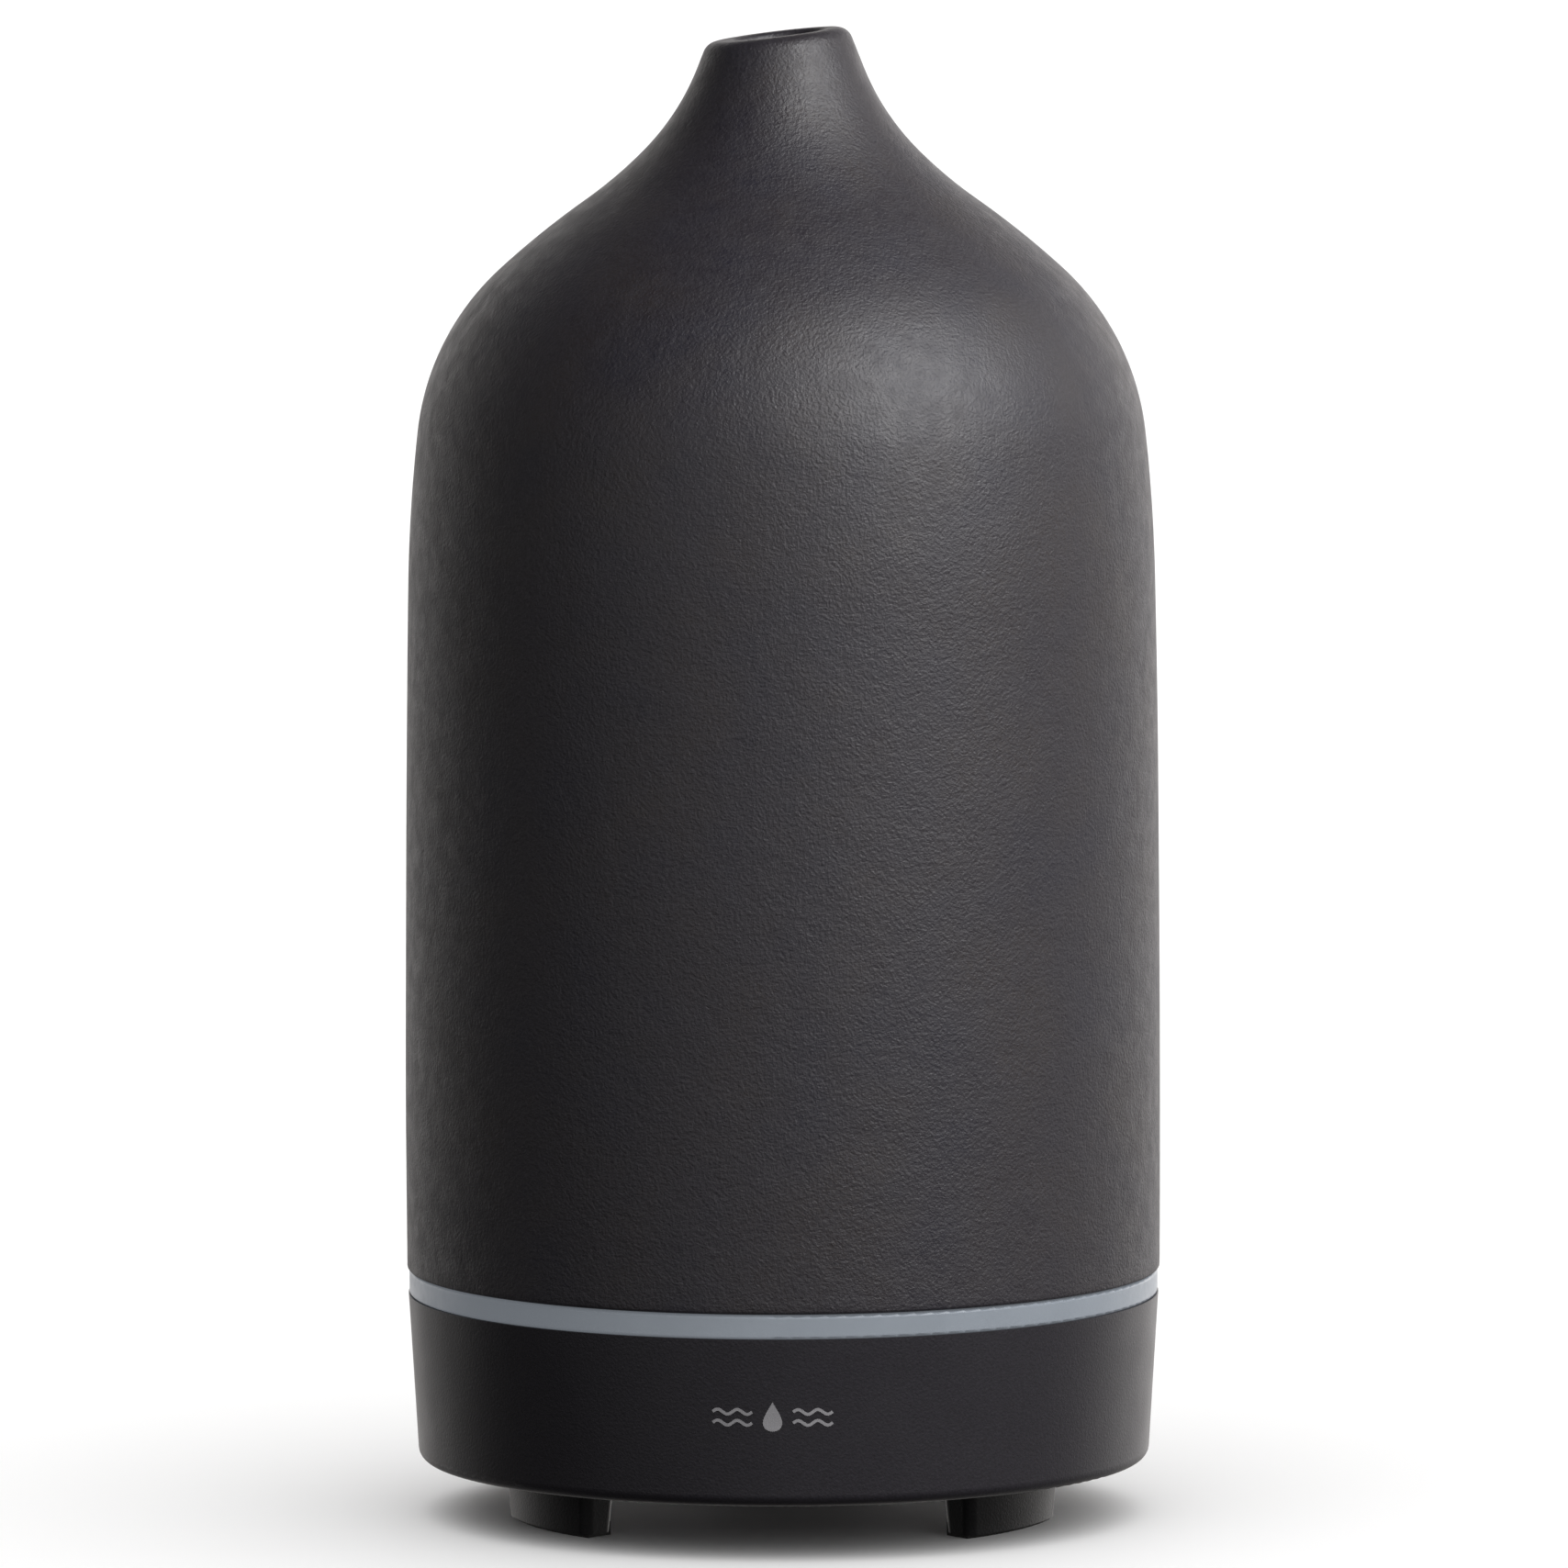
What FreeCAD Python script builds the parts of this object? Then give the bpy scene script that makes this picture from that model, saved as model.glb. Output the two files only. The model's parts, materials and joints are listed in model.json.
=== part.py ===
"""Ultrasonic essential oil diffuser with a ceramic cover, built as its separate pieces.

Millimetres. +X is right, +Y is back, +Z is up, and the origin is on the floor
under the axis of the round body.
"""
import FreeCAD, Part
import math
import os

import Sketcher

Vector = FreeCAD.Vector
Z_AXIS = Vector(0, 0, 1)

DRIVING = {
    # ceramic cover: a chain of tangent arcs from the foot up to the neck
    "cover_foot": 29.3,
    "cover_foot_radius": 44.76,
    "cover_wall": 3.6,
    "foot_slope": -0.3,
    "side_radius": 3600,
    "side_slope": 1.0,
    "brow_radius": 191,
    "brow_slope": 6.4,
    "shoulder_radius": 30.7,
    "shoulder_slope": 47.5,
    "flank_radius": 103.9,
    "flank_slope": 54.7,
    "throat_radius": 51.6,
    "throat_slope": 44.4,
    "neck_radius": 29.1,
    "neck_slope": 21.4,
    "mouth_height": 176.0,
    "mouth_tilt": 6.8,
    "mouth_radius": 5.1,
    "lip_outer_round": 1.9,
    "lip_inner_round": 0.8,
    "cover_foot_round": 0.4,
    # base shell and the light band above it
    "base_bottom": 6.5,
    "base_top": 26.4,
    "base_bottom_radius": 43.4,
    "base_top_radius": 44.6,
    "base_wall": 2.6,
    "base_edge_round": 1.5,
    "ledge_bottom": 10.6,
    "ledge_top": 12.2,
    "ledge_radius": 38.6,
    "band_top": 29.2,
    "band_radius": 44.5,
    "band_round": 0.35,
    "skirt_bottom": 24.3,
    "skirt_radius": 39.9,
    "web_top": 27,
    "web_radius": 41.3,
    "seat_level": 28.5,
    "seat_radius": 42.6,
    # water tank
    "deck_bottom": 27.5,
    "deck_radius": 41.1,
    "collar_top": 33,
    "tank_inner_radius": 36,
    "tank_outer_radius": 38,
    "tank_rim": 64,
    "tank_ceiling": 28.8,
    "tank_floor": 31,
    "tank_floor_edge": 33.5,
    "tank_corner": 2.4,
    "mist_hole_radius": 8,
    "fill_line": 57.5,
    "chimney_top": 59,
    "chimney_left": 29,
    "chimney_right": 33.6,
    "chimney_half_width": 5,
    "chimney_wall": 1.2,
    "tank_boss_circle": 33,
    "tank_boss_radius": 3.3,
    "light_post_circle": 38.1,
    # ultrasonic disc and its holder
    "disc_radius": 10,
    "disc_bottom": 26.7,
    "disc_thickness": 0.8,
    "cup_radius": 11,
    "cup_outer_radius": 13.5,
    "cup_bottom": 24,
    "clamp_bottom": 22.4,
    "clamp_ear_circle": 17,
    # hood over the tank
    "hood_skirt_bottom": 60.2,
    "hood_skirt_radius": 35.6,
    "hood_wall": 1.4,
    "hood_flange": 1.5,
    "dome_foot_radius": 36.4,
    "dome_curve": 34,
    "dome_neck_radius": 13.4,
    "dome_neck": 82.4,
    "spout_blend": 7,
    "spout_base": 88.6,
    "spout_top": 124,
    "spout_base_radius": 8.6,
    "spout_top_radius": 6.6,
    "baffle_radius": 17.5,
    "baffle_bottom": 73.3,
    "baffle_thickness": 1.2,
    "baffle_post_circle": 14,
    "baffle_pin_radius": 0.8,
    "hood_round": 0.5,
    # bottom cover and feet
    "plate_bottom": 8.6,
    "plate_top": 10.6,
    "plate_radius": 40.5,
    "filter_radius": 9,
    "slot_pitch": 3,
    "slot_width": 1.6,
    "slot_circle": 8,
    "foot_outer_radius": 33.8,
    "foot_inner_radius": 28.2,
    "foot_half_angle": 18.2,
    "foot_bottom": 0.4,
    "foot_draft": -4,
    "foot_round": 1.2,
    "pad_inset": 0.9,
    "pad_top": 1.6,
    "peg_circle": 30.6,
    "peg_half_angle": 12,
    "peg_radius": 1.2,
    # blower
    "fan_x": 11.5,
    "fan_y": -7,
    "case_left": -3,
    "case_front": -21,
    "case_side": 30,
    "case_bottom": 11.2,
    "case_top": 19.2,
    "case_plate": 1,
    "volute_radius": 12.6,
    "intake_radius": 8.5,
    "outlet_front": -4.4,
    "outlet_back": 7.6,
    "wheel_radius": 11.6,
    "hub_radius": 6.2,
    "hub_wall": 0.8,
    "blade_circle": 8.1,
    "blade_length": 3.4,
    "blade_thickness": 0.5,
    "wheel_bottom": 13.2,
    "wheel_top": 18.4,
    "shaft_radius": 0.75,
    "bearing_radius": 2,
    # circuit board and what stands on it
    "board_bottom": 12.5,
    "board_thickness": 1.6,
    "board_radius": 36.5,
    "led_board_bottom": 24.5,
    "led_board_thickness": 1.2,
    "led_board_inner_radius": 36.6,
    "led_board_outer_radius": 39.6,
    # controls and power inlet, on one level around the back of the base
    "control_height": 18.5,
    "button_radius": 4,
    "button_hole_radius": 4.25,
    "button_face": 44.6,
    "jack_face": 42.6,
    "jack_barrel_radius": 3.9,
    "jack_mouth_radius": 3.1,
    "jack_mouth_depth": 1.6,
    "jack_chamber_radius": 2.85,
    "jack_chamber_end": 31,
    "jack_pin_radius": 1,
    "jack_pin_inset": 1.8,
    "wire_radius": 0.55,
}

FOOT_ANGLES = {"foot_front_left": 210, "foot_front_right": -30, "foot_rear": 90}
HOUSING_ANGLES = (30, 150, 270)
EAR_ANGLES = (90, 210, 330)
LIGHT_POST_ANGLES = (60, 180, 300)
BLOWER_SCREWS = ((-0.6, -18.6), (24.6, -18.6), (-0.6, 6.6))
BOARD_SCREWS = ((-27.5, -19.5), (10.5, 24), (19.5, -27))
BUTTON_ANGLES = {"mist": 125, "light": 55}
BLADE_COUNT = 19
BLADE_SWEEP = 22
LED_COUNT = 8

doc = FreeCAD.newDocument("Diffuser")
sheet = doc.addObject("Spreadsheet::Sheet", "Sizes")
for row, (alias, number) in enumerate(DRIVING.items(), start=1):
    sheet.set(f"A{row}", alias)
    sheet.set(f"B{row}", str(number))
    sheet.setAlias(f"B{row}", alias)
doc.recompute()

parts = []


class Size:
    """A number together with the spreadsheet expression that gives it."""

    def __init__(self, value, text=None):
        self.value = float(value)
        self.text = text if text else f"({value})"

    def __add__(self, other):
        other = as_size(other)
        return Size(self.value + other.value, f"({self.text} + {other.text})")

    def __sub__(self, other):
        other = as_size(other)
        return Size(self.value - other.value, f"({self.text} - {other.text})")

    def __mul__(self, other):
        other = as_size(other)
        return Size(self.value * other.value, f"({self.text} * {other.text})")

    def __truediv__(self, other):
        other = as_size(other)
        return Size(self.value / other.value, f"({self.text} / {other.text})")

    def __neg__(self):
        return Size(-self.value, f"(0 - {self.text})")


class Sheet:
    """Reads the driving sizes by name, as in dim.cover_wall."""

    def __getattr__(self, alias):
        return Size(DRIVING[alias], f"Sizes.{alias}")


dim = Sheet()


def as_size(number):
    return number if isinstance(number, Size) else Size(number)


def cosine(angle):
    angle = as_size(angle)
    return Size(math.cos(math.radians(angle.value)), f"cos({angle.text})")


def sine(angle):
    angle = as_size(angle)
    return Size(math.sin(math.radians(angle.value)), f"sin({angle.text})")


def tangent(angle):
    angle = as_size(angle)
    return Size(math.tan(math.radians(angle.value)), f"tan({angle.text})")


def bind(thing, prop, size):
    """Sets a property through an expression on the sheet."""
    thing.setExpression(prop, as_size(size).text)


def around(radius, angle):
    """The x and y of a point on a circle about the Z axis."""
    return as_size(radius) * cosine(angle), as_size(radius) * sine(angle)


def keep(thing, label):
    """Registers a document object as one of the finished pieces."""
    thing.Label = label
    parts.append(thing)
    return thing


# ---------------------------------------------------------------- bodies and sketches

def new_body(name):
    return doc.addObject("PartDesign::Body", name)


def origin_of(body, role):
    return next(item for item in body.Origin.OriginFeatures if item.Role == role)


def new_sketch(body, name, plane="XZ_Plane", level=None):
    sketch = body.newObject("Sketcher::SketchObject", name)
    sketch.AttachmentSupport = (origin_of(body, plane), [""])
    sketch.MapMode = "FlatFace"
    if level is not None:
        bind(sketch, "AttachmentOffset.Base.z", level)
    return sketch


def pin_point(sketch, edge, end, x, y):
    """Fixes one point of a sketch edge at x, y through expressions."""
    for axis, kind, size in ((-2, "DistanceX", x), (-1, "DistanceY", y)):
        if not isinstance(size, Size) and size == 0:
            sketch.addConstraint(Sketcher.Constraint("PointOnObject", edge, end, axis))
            continue
        size = as_size(size)
        index = sketch.addConstraint(Sketcher.Constraint(kind, -1, 1, edge, end, size.value))
        bind(sketch, f"Constraints[{index}]", size)


def arc_between(start, end, radius, turn):
    """The shorter arc from start to end. turn is 1 for anticlockwise and -1 for clockwise."""
    run = end - start
    reach = math.sqrt(max(radius ** 2 - (run.Length / 2) ** 2, 0))
    left = Vector(-run.y, run.x, 0).normalize()
    centre = (start + end) * 0.5 + left * reach * turn
    first, last = (start, end) if turn > 0 else (end, start)
    angles = [math.atan2(point.y - centre.y, point.x - centre.x) for point in (first, last)]
    if angles[1] < angles[0]:
        angles[1] += 2 * math.pi
    return Part.ArcOfCircle(Part.Circle(centre, Z_AXIS, radius), angles[0], angles[1])


def outline(sketch, corners):
    """Draws one closed outline.

    Each corner is (x, y), or (x, y, radius, turn) where an arc leaves it for the next corner.
    """
    first = sketch.GeometryCount
    count = len(corners)
    places = [Vector(as_size(c[0]).value, as_size(c[1]).value, 0) for c in corners]
    starts = []
    for index, corner in enumerate(corners):
        here, there = places[index], places[(index + 1) % count]
        if len(corner) == 2:
            sketch.addGeometry(Part.LineSegment(here, there))
            starts.append(1)
            continue
        radius, turn = as_size(corner[2]), corner[3]
        edge = sketch.addGeometry(arc_between(here, there, radius.value, turn))
        starts.append(1 if turn > 0 else 2)
        rule = sketch.addConstraint(Sketcher.Constraint("Radius", edge, radius.value))
        bind(sketch, f"Constraints[{rule}]", radius)
    for index in range(count):
        after = (index + 1) % count
        end = 3 - starts[index]
        joint = Sketcher.Constraint("Coincident", first + index, end, first + after, starts[after])
        sketch.addConstraint(joint)
    for index, corner in enumerate(corners):
        pin_point(sketch, first + index, starts[index], corner[0], corner[1])


def circle(sketch, x, y, radius):
    radius = as_size(radius)
    centre = Vector(as_size(x).value, as_size(y).value, 0)
    edge = sketch.addGeometry(Part.Circle(centre, Z_AXIS, radius.value))
    rule = sketch.addConstraint(Sketcher.Constraint("Radius", edge, radius.value))
    bind(sketch, f"Constraints[{rule}]", radius)
    pin_point(sketch, edge, 3, x, y)


def rectangle(sketch, left, front, right, back):
    outline(sketch, [(left, front), (right, front), (right, back), (left, back)])


def revolve(body, corners, name="Profile"):
    sketch = new_sketch(body, name)
    outline(sketch, corners)
    turned = body.newObject("PartDesign::Revolution", f"{name}Turned")
    turned.Profile = sketch
    turned.ReferenceAxis = (sketch, ["V_Axis"])
    turned.Angle = 360
    doc.recompute()
    return turned


def pad(body, sketch, length, draft=None, downward=False):
    feature = body.newObject("PartDesign::Pad", f"{sketch.Name}Pad")
    feature.Profile = sketch
    feature.Reversed = downward
    bind(feature, "Length", length)
    if draft is not None:
        bind(feature, "TaperAngle", draft)
    doc.recompute()
    return feature


def pocket(body, sketch, length, upward=True, both_ways=False):
    """Cuts a sketch into its body and checks that material really went."""
    before = body.Shape.Volume
    feature = body.newObject("PartDesign::Pocket", f"{sketch.Name}Cut")
    feature.Profile = sketch
    feature.Reversed = upward
    if both_ways:
        feature.SideType = "Symmetric"
    bind(feature, "Length", length)
    doc.recompute()
    if feature.Shape.Volume > before - 1e-6:
        raise RuntimeError(f"{feature.Name} removes nothing")
    return feature


def polar(body, feature, count=3):
    pattern = body.newObject("PartDesign::PolarPattern", f"{feature.Name}Ring")
    pattern.Originals = [feature]
    pattern.Axis = (origin_of(body, "Z_Axis"), [""])
    pattern.Angle = 360
    pattern.Occurrences = count
    body.Tip = pattern
    doc.recompute()
    return pattern


def fillet(body, radius, wanted, name="Round"):
    """Rounds the edges of the body for which wanted(edge) is true."""
    base = body.Tip
    edges = [f"Edge{n}" for n, edge in enumerate(base.Shape.Edges, start=1) if wanted(edge)]
    if not edges:
        raise RuntimeError(f"{body.Name} has no edge to round")
    feature = body.newObject("PartDesign::Fillet", f"{body.Name}{name}")
    feature.Base = (base, edges)
    bind(feature, "Radius", radius)
    doc.recompute()
    return feature


def level_circle(edge, radius, height):
    """True for a full circle of that radius at that height."""
    box = edge.BoundBox
    return abs(box.XMax - radius) < 0.02 and abs(box.ZMax - height) < 0.02 and box.ZLength < 0.02


# ---------------------------------------------------------------- primitives and booleans

def place(thing, x=0, y=0, z=0, rotation=None):
    if rotation is not None:
        thing.Placement = FreeCAD.Placement(Vector(0, 0, 0), rotation)
    for axis, size in (("x", x), ("y", y), ("z", z)):
        bind(thing, f"Placement.Base.{axis}", size)
    return thing


def rod(name, radius, bottom, top, x=0, y=0):
    """An upright cylinder between two heights."""
    thing = doc.addObject("Part::Cylinder", name)
    bind(thing, "Radius", radius)
    bind(thing, "Height", as_size(top) - bottom)
    return place(thing, x, y, bottom)


def block(name, left, right, front, back, bottom, top):
    """A box given by its six sides."""
    thing = doc.addObject("Part::Box", name)
    bind(thing, "Length", as_size(right) - left)
    bind(thing, "Width", as_size(back) - front)
    bind(thing, "Height", as_size(top) - bottom)
    return place(thing, left, front, bottom)


def radial_rod(name, radius, inner, outer, angle, height):
    """A cylinder that lies along a radius of the base, from inner to outer."""
    thing = doc.addObject("Part::Cylinder", name)
    bind(thing, "Radius", radius)
    bind(thing, "Height", as_size(outer) - inner)
    direction = FreeCAD.Rotation(Z_AXIS, angle) * FreeCAD.Rotation(Vector(0, 1, 0), 90)
    x, y = around(inner, angle)
    return place(thing, x, y, height, direction)


def radial_block(name, inner, outer, half_width, bottom, top, angle):
    """A box whose length lies along a radius of the base."""
    thing = doc.addObject("Part::Box", name)
    bind(thing, "Length", as_size(outer) - inner)
    bind(thing, "Width", as_size(half_width) * 2)
    bind(thing, "Height", as_size(top) - bottom)
    x = as_size(inner) * cosine(angle) + as_size(half_width) * sine(angle)
    y = as_size(inner) * sine(angle) - as_size(half_width) * cosine(angle)
    return place(thing, x, y, bottom, FreeCAD.Rotation(Z_AXIS, angle))


def turned_box(name, size, x, y, bottom, angle):
    """A box of a length, width and height, turned about its lower corner at x, y."""
    thing = doc.addObject("Part::Box", name)
    for prop, extent in zip(("Length", "Width", "Height"), size):
        bind(thing, prop, extent)
    return place(thing, x, y, bottom, FreeCAD.Rotation(Z_AXIS, angle))


def fuse(name, pieces):
    thing = doc.addObject("Part::MultiFuse", name)
    thing.Shapes = pieces
    return thing


def cut(name, base, tools):
    thing = doc.addObject("Part::Cut", name)
    thing.Base = base
    thing.Tool = tools[0] if len(tools) == 1 else fuse(f"{name}Tools", tools)
    return thing


def group(name, pieces):
    """Identical loose pieces that share one node."""
    thing = doc.addObject("Part::Compound", name)
    thing.Links = pieces
    return thing


def ring(name, outer, inner, bottom, top, x=0, y=0):
    tool = rod(f"{name}Hole", inner, as_size(bottom) - 1, as_size(top) + 1, x, y)
    return cut(name, rod(f"{name}Outer", outer, bottom, top, x, y), [tool])


def screw(name, x, y, head_bottom, head_radius, head_height, shank_radius, shank_length, up=True):
    """A cross-recess screw. With up the shank rises from the head, otherwise it hangs below."""
    head_bottom = as_size(head_bottom)
    head_top = head_bottom + head_height
    shank_low = head_top if up else head_bottom - shank_length
    shank_high = shank_low + shank_length
    head = rod(f"{name}Head", head_radius, head_bottom, head_top, x, y)
    shank = rod(f"{name}Shank", shank_radius, shank_low, shank_high, x, y)
    depth = as_size(head_height) * 0.5
    low = head_bottom - 0.1 if up else head_top - depth
    high = head_bottom + depth if up else head_top + 0.1
    arm, half = as_size(head_radius) * 0.6, as_size(head_radius) * 0.12
    x, y = as_size(x), as_size(y)
    slots = [
        block(f"{name}SlotX", x - arm, x + arm, y - half, y + half, low, high),
        block(f"{name}SlotY", x - half, x + half, y - arm, y + arm, low, high),
    ]
    return cut(name, fuse(f"{name}Blank", [head, shank]), slots)


# ---------------------------------------------------------------- ceramic cover and its hood

def cover_chain():
    """Joins of the cover's tangent arcs as (r, z, slope), and each arc's radius and side.

    The slope is the angle of the outward normal above the horizontal. Side 1 bulges outward
    and side -1 is hollow.
    """
    arcs = [
        (dim.side_radius, dim.side_slope, 1),
        (dim.brow_radius, dim.brow_slope, 1),
        (dim.shoulder_radius, dim.shoulder_slope, 1),
        (dim.flank_radius, dim.flank_slope, 1),
        (dim.throat_radius, dim.throat_slope, -1),
        (dim.neck_radius, dim.neck_slope, -1),
    ]
    joins = [(dim.cover_foot_radius, dim.cover_foot, dim.foot_slope)]
    for radius, slope, side in arcs:
        r, z, before = joins[-1]
        across = radius * side
        r = r + across * (cosine(slope) - cosine(before))
        z = z + across * (sine(slope) - sine(before))
        joins.append((r, z, slope))
    return joins, arcs


def build_ceramic_cover():
    joins, arcs = cover_chain()
    above = dim.mouth_height + 4
    corners = []
    for (r, z, _), (radius, _, side) in zip(joins, arcs):
        corners.append((r, z, radius, side))
    r, z, slope = joins[-1]
    corners.append((r, z))
    corners.append((r - (above - z) * tangent(slope), above))
    corners.append((dim.mouth_radius, above))
    inner_r = r - dim.cover_wall * cosine(slope)
    inner_z = z - dim.cover_wall * sine(slope)
    straight_top = inner_z + (inner_r - dim.mouth_radius) / tangent(slope)
    corners.append((dim.mouth_radius, straight_top))
    for (r, z, slope), (radius, _, side) in zip(reversed(joins[1:]), reversed(arcs)):
        inner = radius - dim.cover_wall * side
        at_r = r - dim.cover_wall * cosine(slope)
        at_z = z - dim.cover_wall * sine(slope)
        corners.append((at_r, at_z, inner, -side))
    foot_r, foot_z, slope = joins[0]
    corners.append((foot_r - dim.cover_wall * cosine(slope), foot_z))

    body = new_body("CeramicCover")
    revolve(body, corners)
    reach = Size(16)
    rise = reach * tangent(dim.mouth_tilt)
    slant = new_sketch(body, "MouthSlant")
    outline(slant, [
        (-reach, dim.mouth_height - rise),
        (reach, dim.mouth_height + rise),
        (reach, dim.mouth_height + 12),
        (-reach, dim.mouth_height + 12),
    ])
    pocket(body, slant, 60, both_ways=True)

    lip = dim.mouth_height.value - 3

    def outer_lip(edge):
        return edge.BoundBox.ZMin > lip and edge.BoundBox.XMax > dim.mouth_radius.value + 1

    def inner_lip(edge):
        box = edge.BoundBox
        return box.ZMin > lip and box.XMax < dim.mouth_radius.value + 0.5 and box.ZLength > 0.3

    def foot_edge(edge):
        return edge.BoundBox.ZMax < dim.cover_foot.value + 0.01 and edge.BoundBox.XLength > 20

    fillet(body, dim.lip_outer_round, outer_lip, "OuterLip")
    fillet(body, dim.lip_inner_round, inner_lip, "InnerLip")
    fillet(body, dim.cover_foot_round, foot_edge, "Foot")
    keep(body, "ceramic_cover")


def build_mist_hood():
    """A domed lid with a tall spout. Its skirt drops inside the rim of the tank."""
    body = new_body("MistHood")
    rim, wall = dim.tank_rim, dim.hood_wall
    flange_top = rim + dim.hood_flange
    revolve(body, [
        (dim.hood_skirt_radius - wall, dim.hood_skirt_bottom),
        (dim.hood_skirt_radius, dim.hood_skirt_bottom),
        (dim.hood_skirt_radius, rim),
        (dim.tank_outer_radius, rim),
        (dim.tank_outer_radius, flange_top),
        (dim.dome_foot_radius, flange_top, dim.dome_curve, 1),
        (dim.dome_neck_radius, dim.dome_neck, dim.spout_blend, -1),
        (dim.spout_base_radius, dim.spout_base),
        (dim.spout_top_radius, dim.spout_top),
        (dim.spout_top_radius - wall, dim.spout_top),
        (dim.spout_base_radius - wall, dim.spout_base - 0.2, dim.spout_blend + wall, 1),
        (dim.dome_neck_radius - wall / 2, dim.dome_neck - 1.3, dim.dome_curve - wall, -1),
        (dim.hood_skirt_radius - wall, flange_top),
    ])
    post = new_sketch(body, "BafflePost", "XY_Plane", dim.baffle_bottom + dim.baffle_thickness)
    circle(post, *around(dim.baffle_post_circle, HOUSING_ANGLES[0]), 1.4)
    polar(body, pad(body, post, 6.2))
    pin = new_sketch(body, "BafflePin", "XY_Plane", dim.baffle_bottom)
    circle(pin, *around(dim.baffle_post_circle, HOUSING_ANGLES[0]), dim.baffle_pin_radius)
    polar(body, pad(body, pin, 2))
    spout_edge = (dim.spout_top_radius.value, dim.spout_top.value)
    flange_edge = (dim.tank_outer_radius.value, flange_top.value)
    fillet(body, dim.hood_round, lambda edge: level_circle(edge, *spout_edge), "Spout")
    fillet(body, dim.hood_round, lambda edge: level_circle(edge, *flange_edge), "Flange")
    keep(body, "mist_hood")

    low, top = dim.baffle_bottom, dim.baffle_bottom + dim.baffle_thickness
    pins = [
        rod(f"BaffleHole{angle}", dim.baffle_pin_radius + 0.05, low - 1, top + 1,
            *around(dim.baffle_post_circle, angle))
        for angle in HOUSING_ANGLES
    ]
    disc = rod("BaffleDisc", dim.baffle_radius, low, top)
    keep(cut("SplashBaffle", disc, pins), "splash_baffle")


# ---------------------------------------------------------------- base housing

def base_radius(height):
    """Outer radius of the tapered base shell at a height."""
    share = (as_size(height) - dim.base_bottom) / (dim.base_top - dim.base_bottom)
    return dim.base_bottom_radius + (dim.base_top_radius - dim.base_bottom_radius) * share


def build_base_shell():
    body = new_body("BaseShellBody")
    wall = dim.base_wall
    revolve(body, [
        (dim.base_bottom_radius, dim.base_bottom),
        (dim.base_top_radius, dim.base_top),
        (dim.base_top_radius - wall, dim.base_top),
        (base_radius(dim.ledge_top) - wall, dim.ledge_top),
        (dim.ledge_radius, dim.ledge_top),
        (dim.ledge_radius, dim.ledge_bottom),
        (base_radius(dim.ledge_bottom) - wall, dim.ledge_bottom),
        (dim.base_bottom_radius - wall, dim.base_bottom),
    ])
    bottom_edge = (dim.base_bottom_radius.value, dim.base_bottom.value)
    fillet(body, dim.base_edge_round, lambda edge: level_circle(edge, *bottom_edge))
    height = dim.control_height
    inside, outside = dim.base_bottom_radius - 6, dim.base_top_radius + 4
    jack_hole = dim.jack_barrel_radius + 0.25
    openings = [radial_rod("JackHole", jack_hole, inside, outside, 90, height)]
    for name, angle in BUTTON_ANGLES.items():
        hole = f"{name.title()}Hole"
        openings.append(radial_rod(hole, dim.button_hole_radius, inside, outside, angle, height))
    keep(cut("BaseShell", body, openings), "base_shell")


def build_light_ring():
    body = new_body("LightRing")
    revolve(body, [
        (dim.skirt_radius, dim.skirt_bottom),
        (dim.web_radius - 0.2, dim.skirt_bottom),
        (dim.web_radius, dim.base_top),
        (dim.band_radius, dim.base_top),
        (dim.band_radius, dim.band_top),
        (dim.seat_radius, dim.band_top),
        (dim.seat_radius, dim.seat_level),
        (dim.web_radius, dim.seat_level),
        (dim.web_radius, dim.web_top),
        (dim.skirt_radius, dim.web_top),
    ])
    band = dim.band_radius.value
    levels = (dim.base_top.value, dim.band_top.value)
    fillet(body, dim.band_round, lambda edge: any(level_circle(edge, band, z) for z in levels))
    keep(body, "light_ring")


def build_gaskets():
    body = new_body("SeatGasket")
    inner, outer = dim.skirt_radius + 0.3, dim.seat_radius - 0.1
    bevel_start = dim.cover_foot - 0.2
    revolve(body, [
        (inner, dim.seat_level),
        (outer, dim.seat_level),
        (outer, bevel_start),
        (outer - 0.3, dim.cover_foot),
        (inner + 0.3, dim.cover_foot),
        (inner, bevel_start),
    ])
    keep(body, "seat_gasket")
    inner = dim.skirt_radius + 0.1
    keep(ring("TankGasket", dim.deck_radius, inner, dim.web_top, dim.deck_bottom), "tank_gasket")


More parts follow.
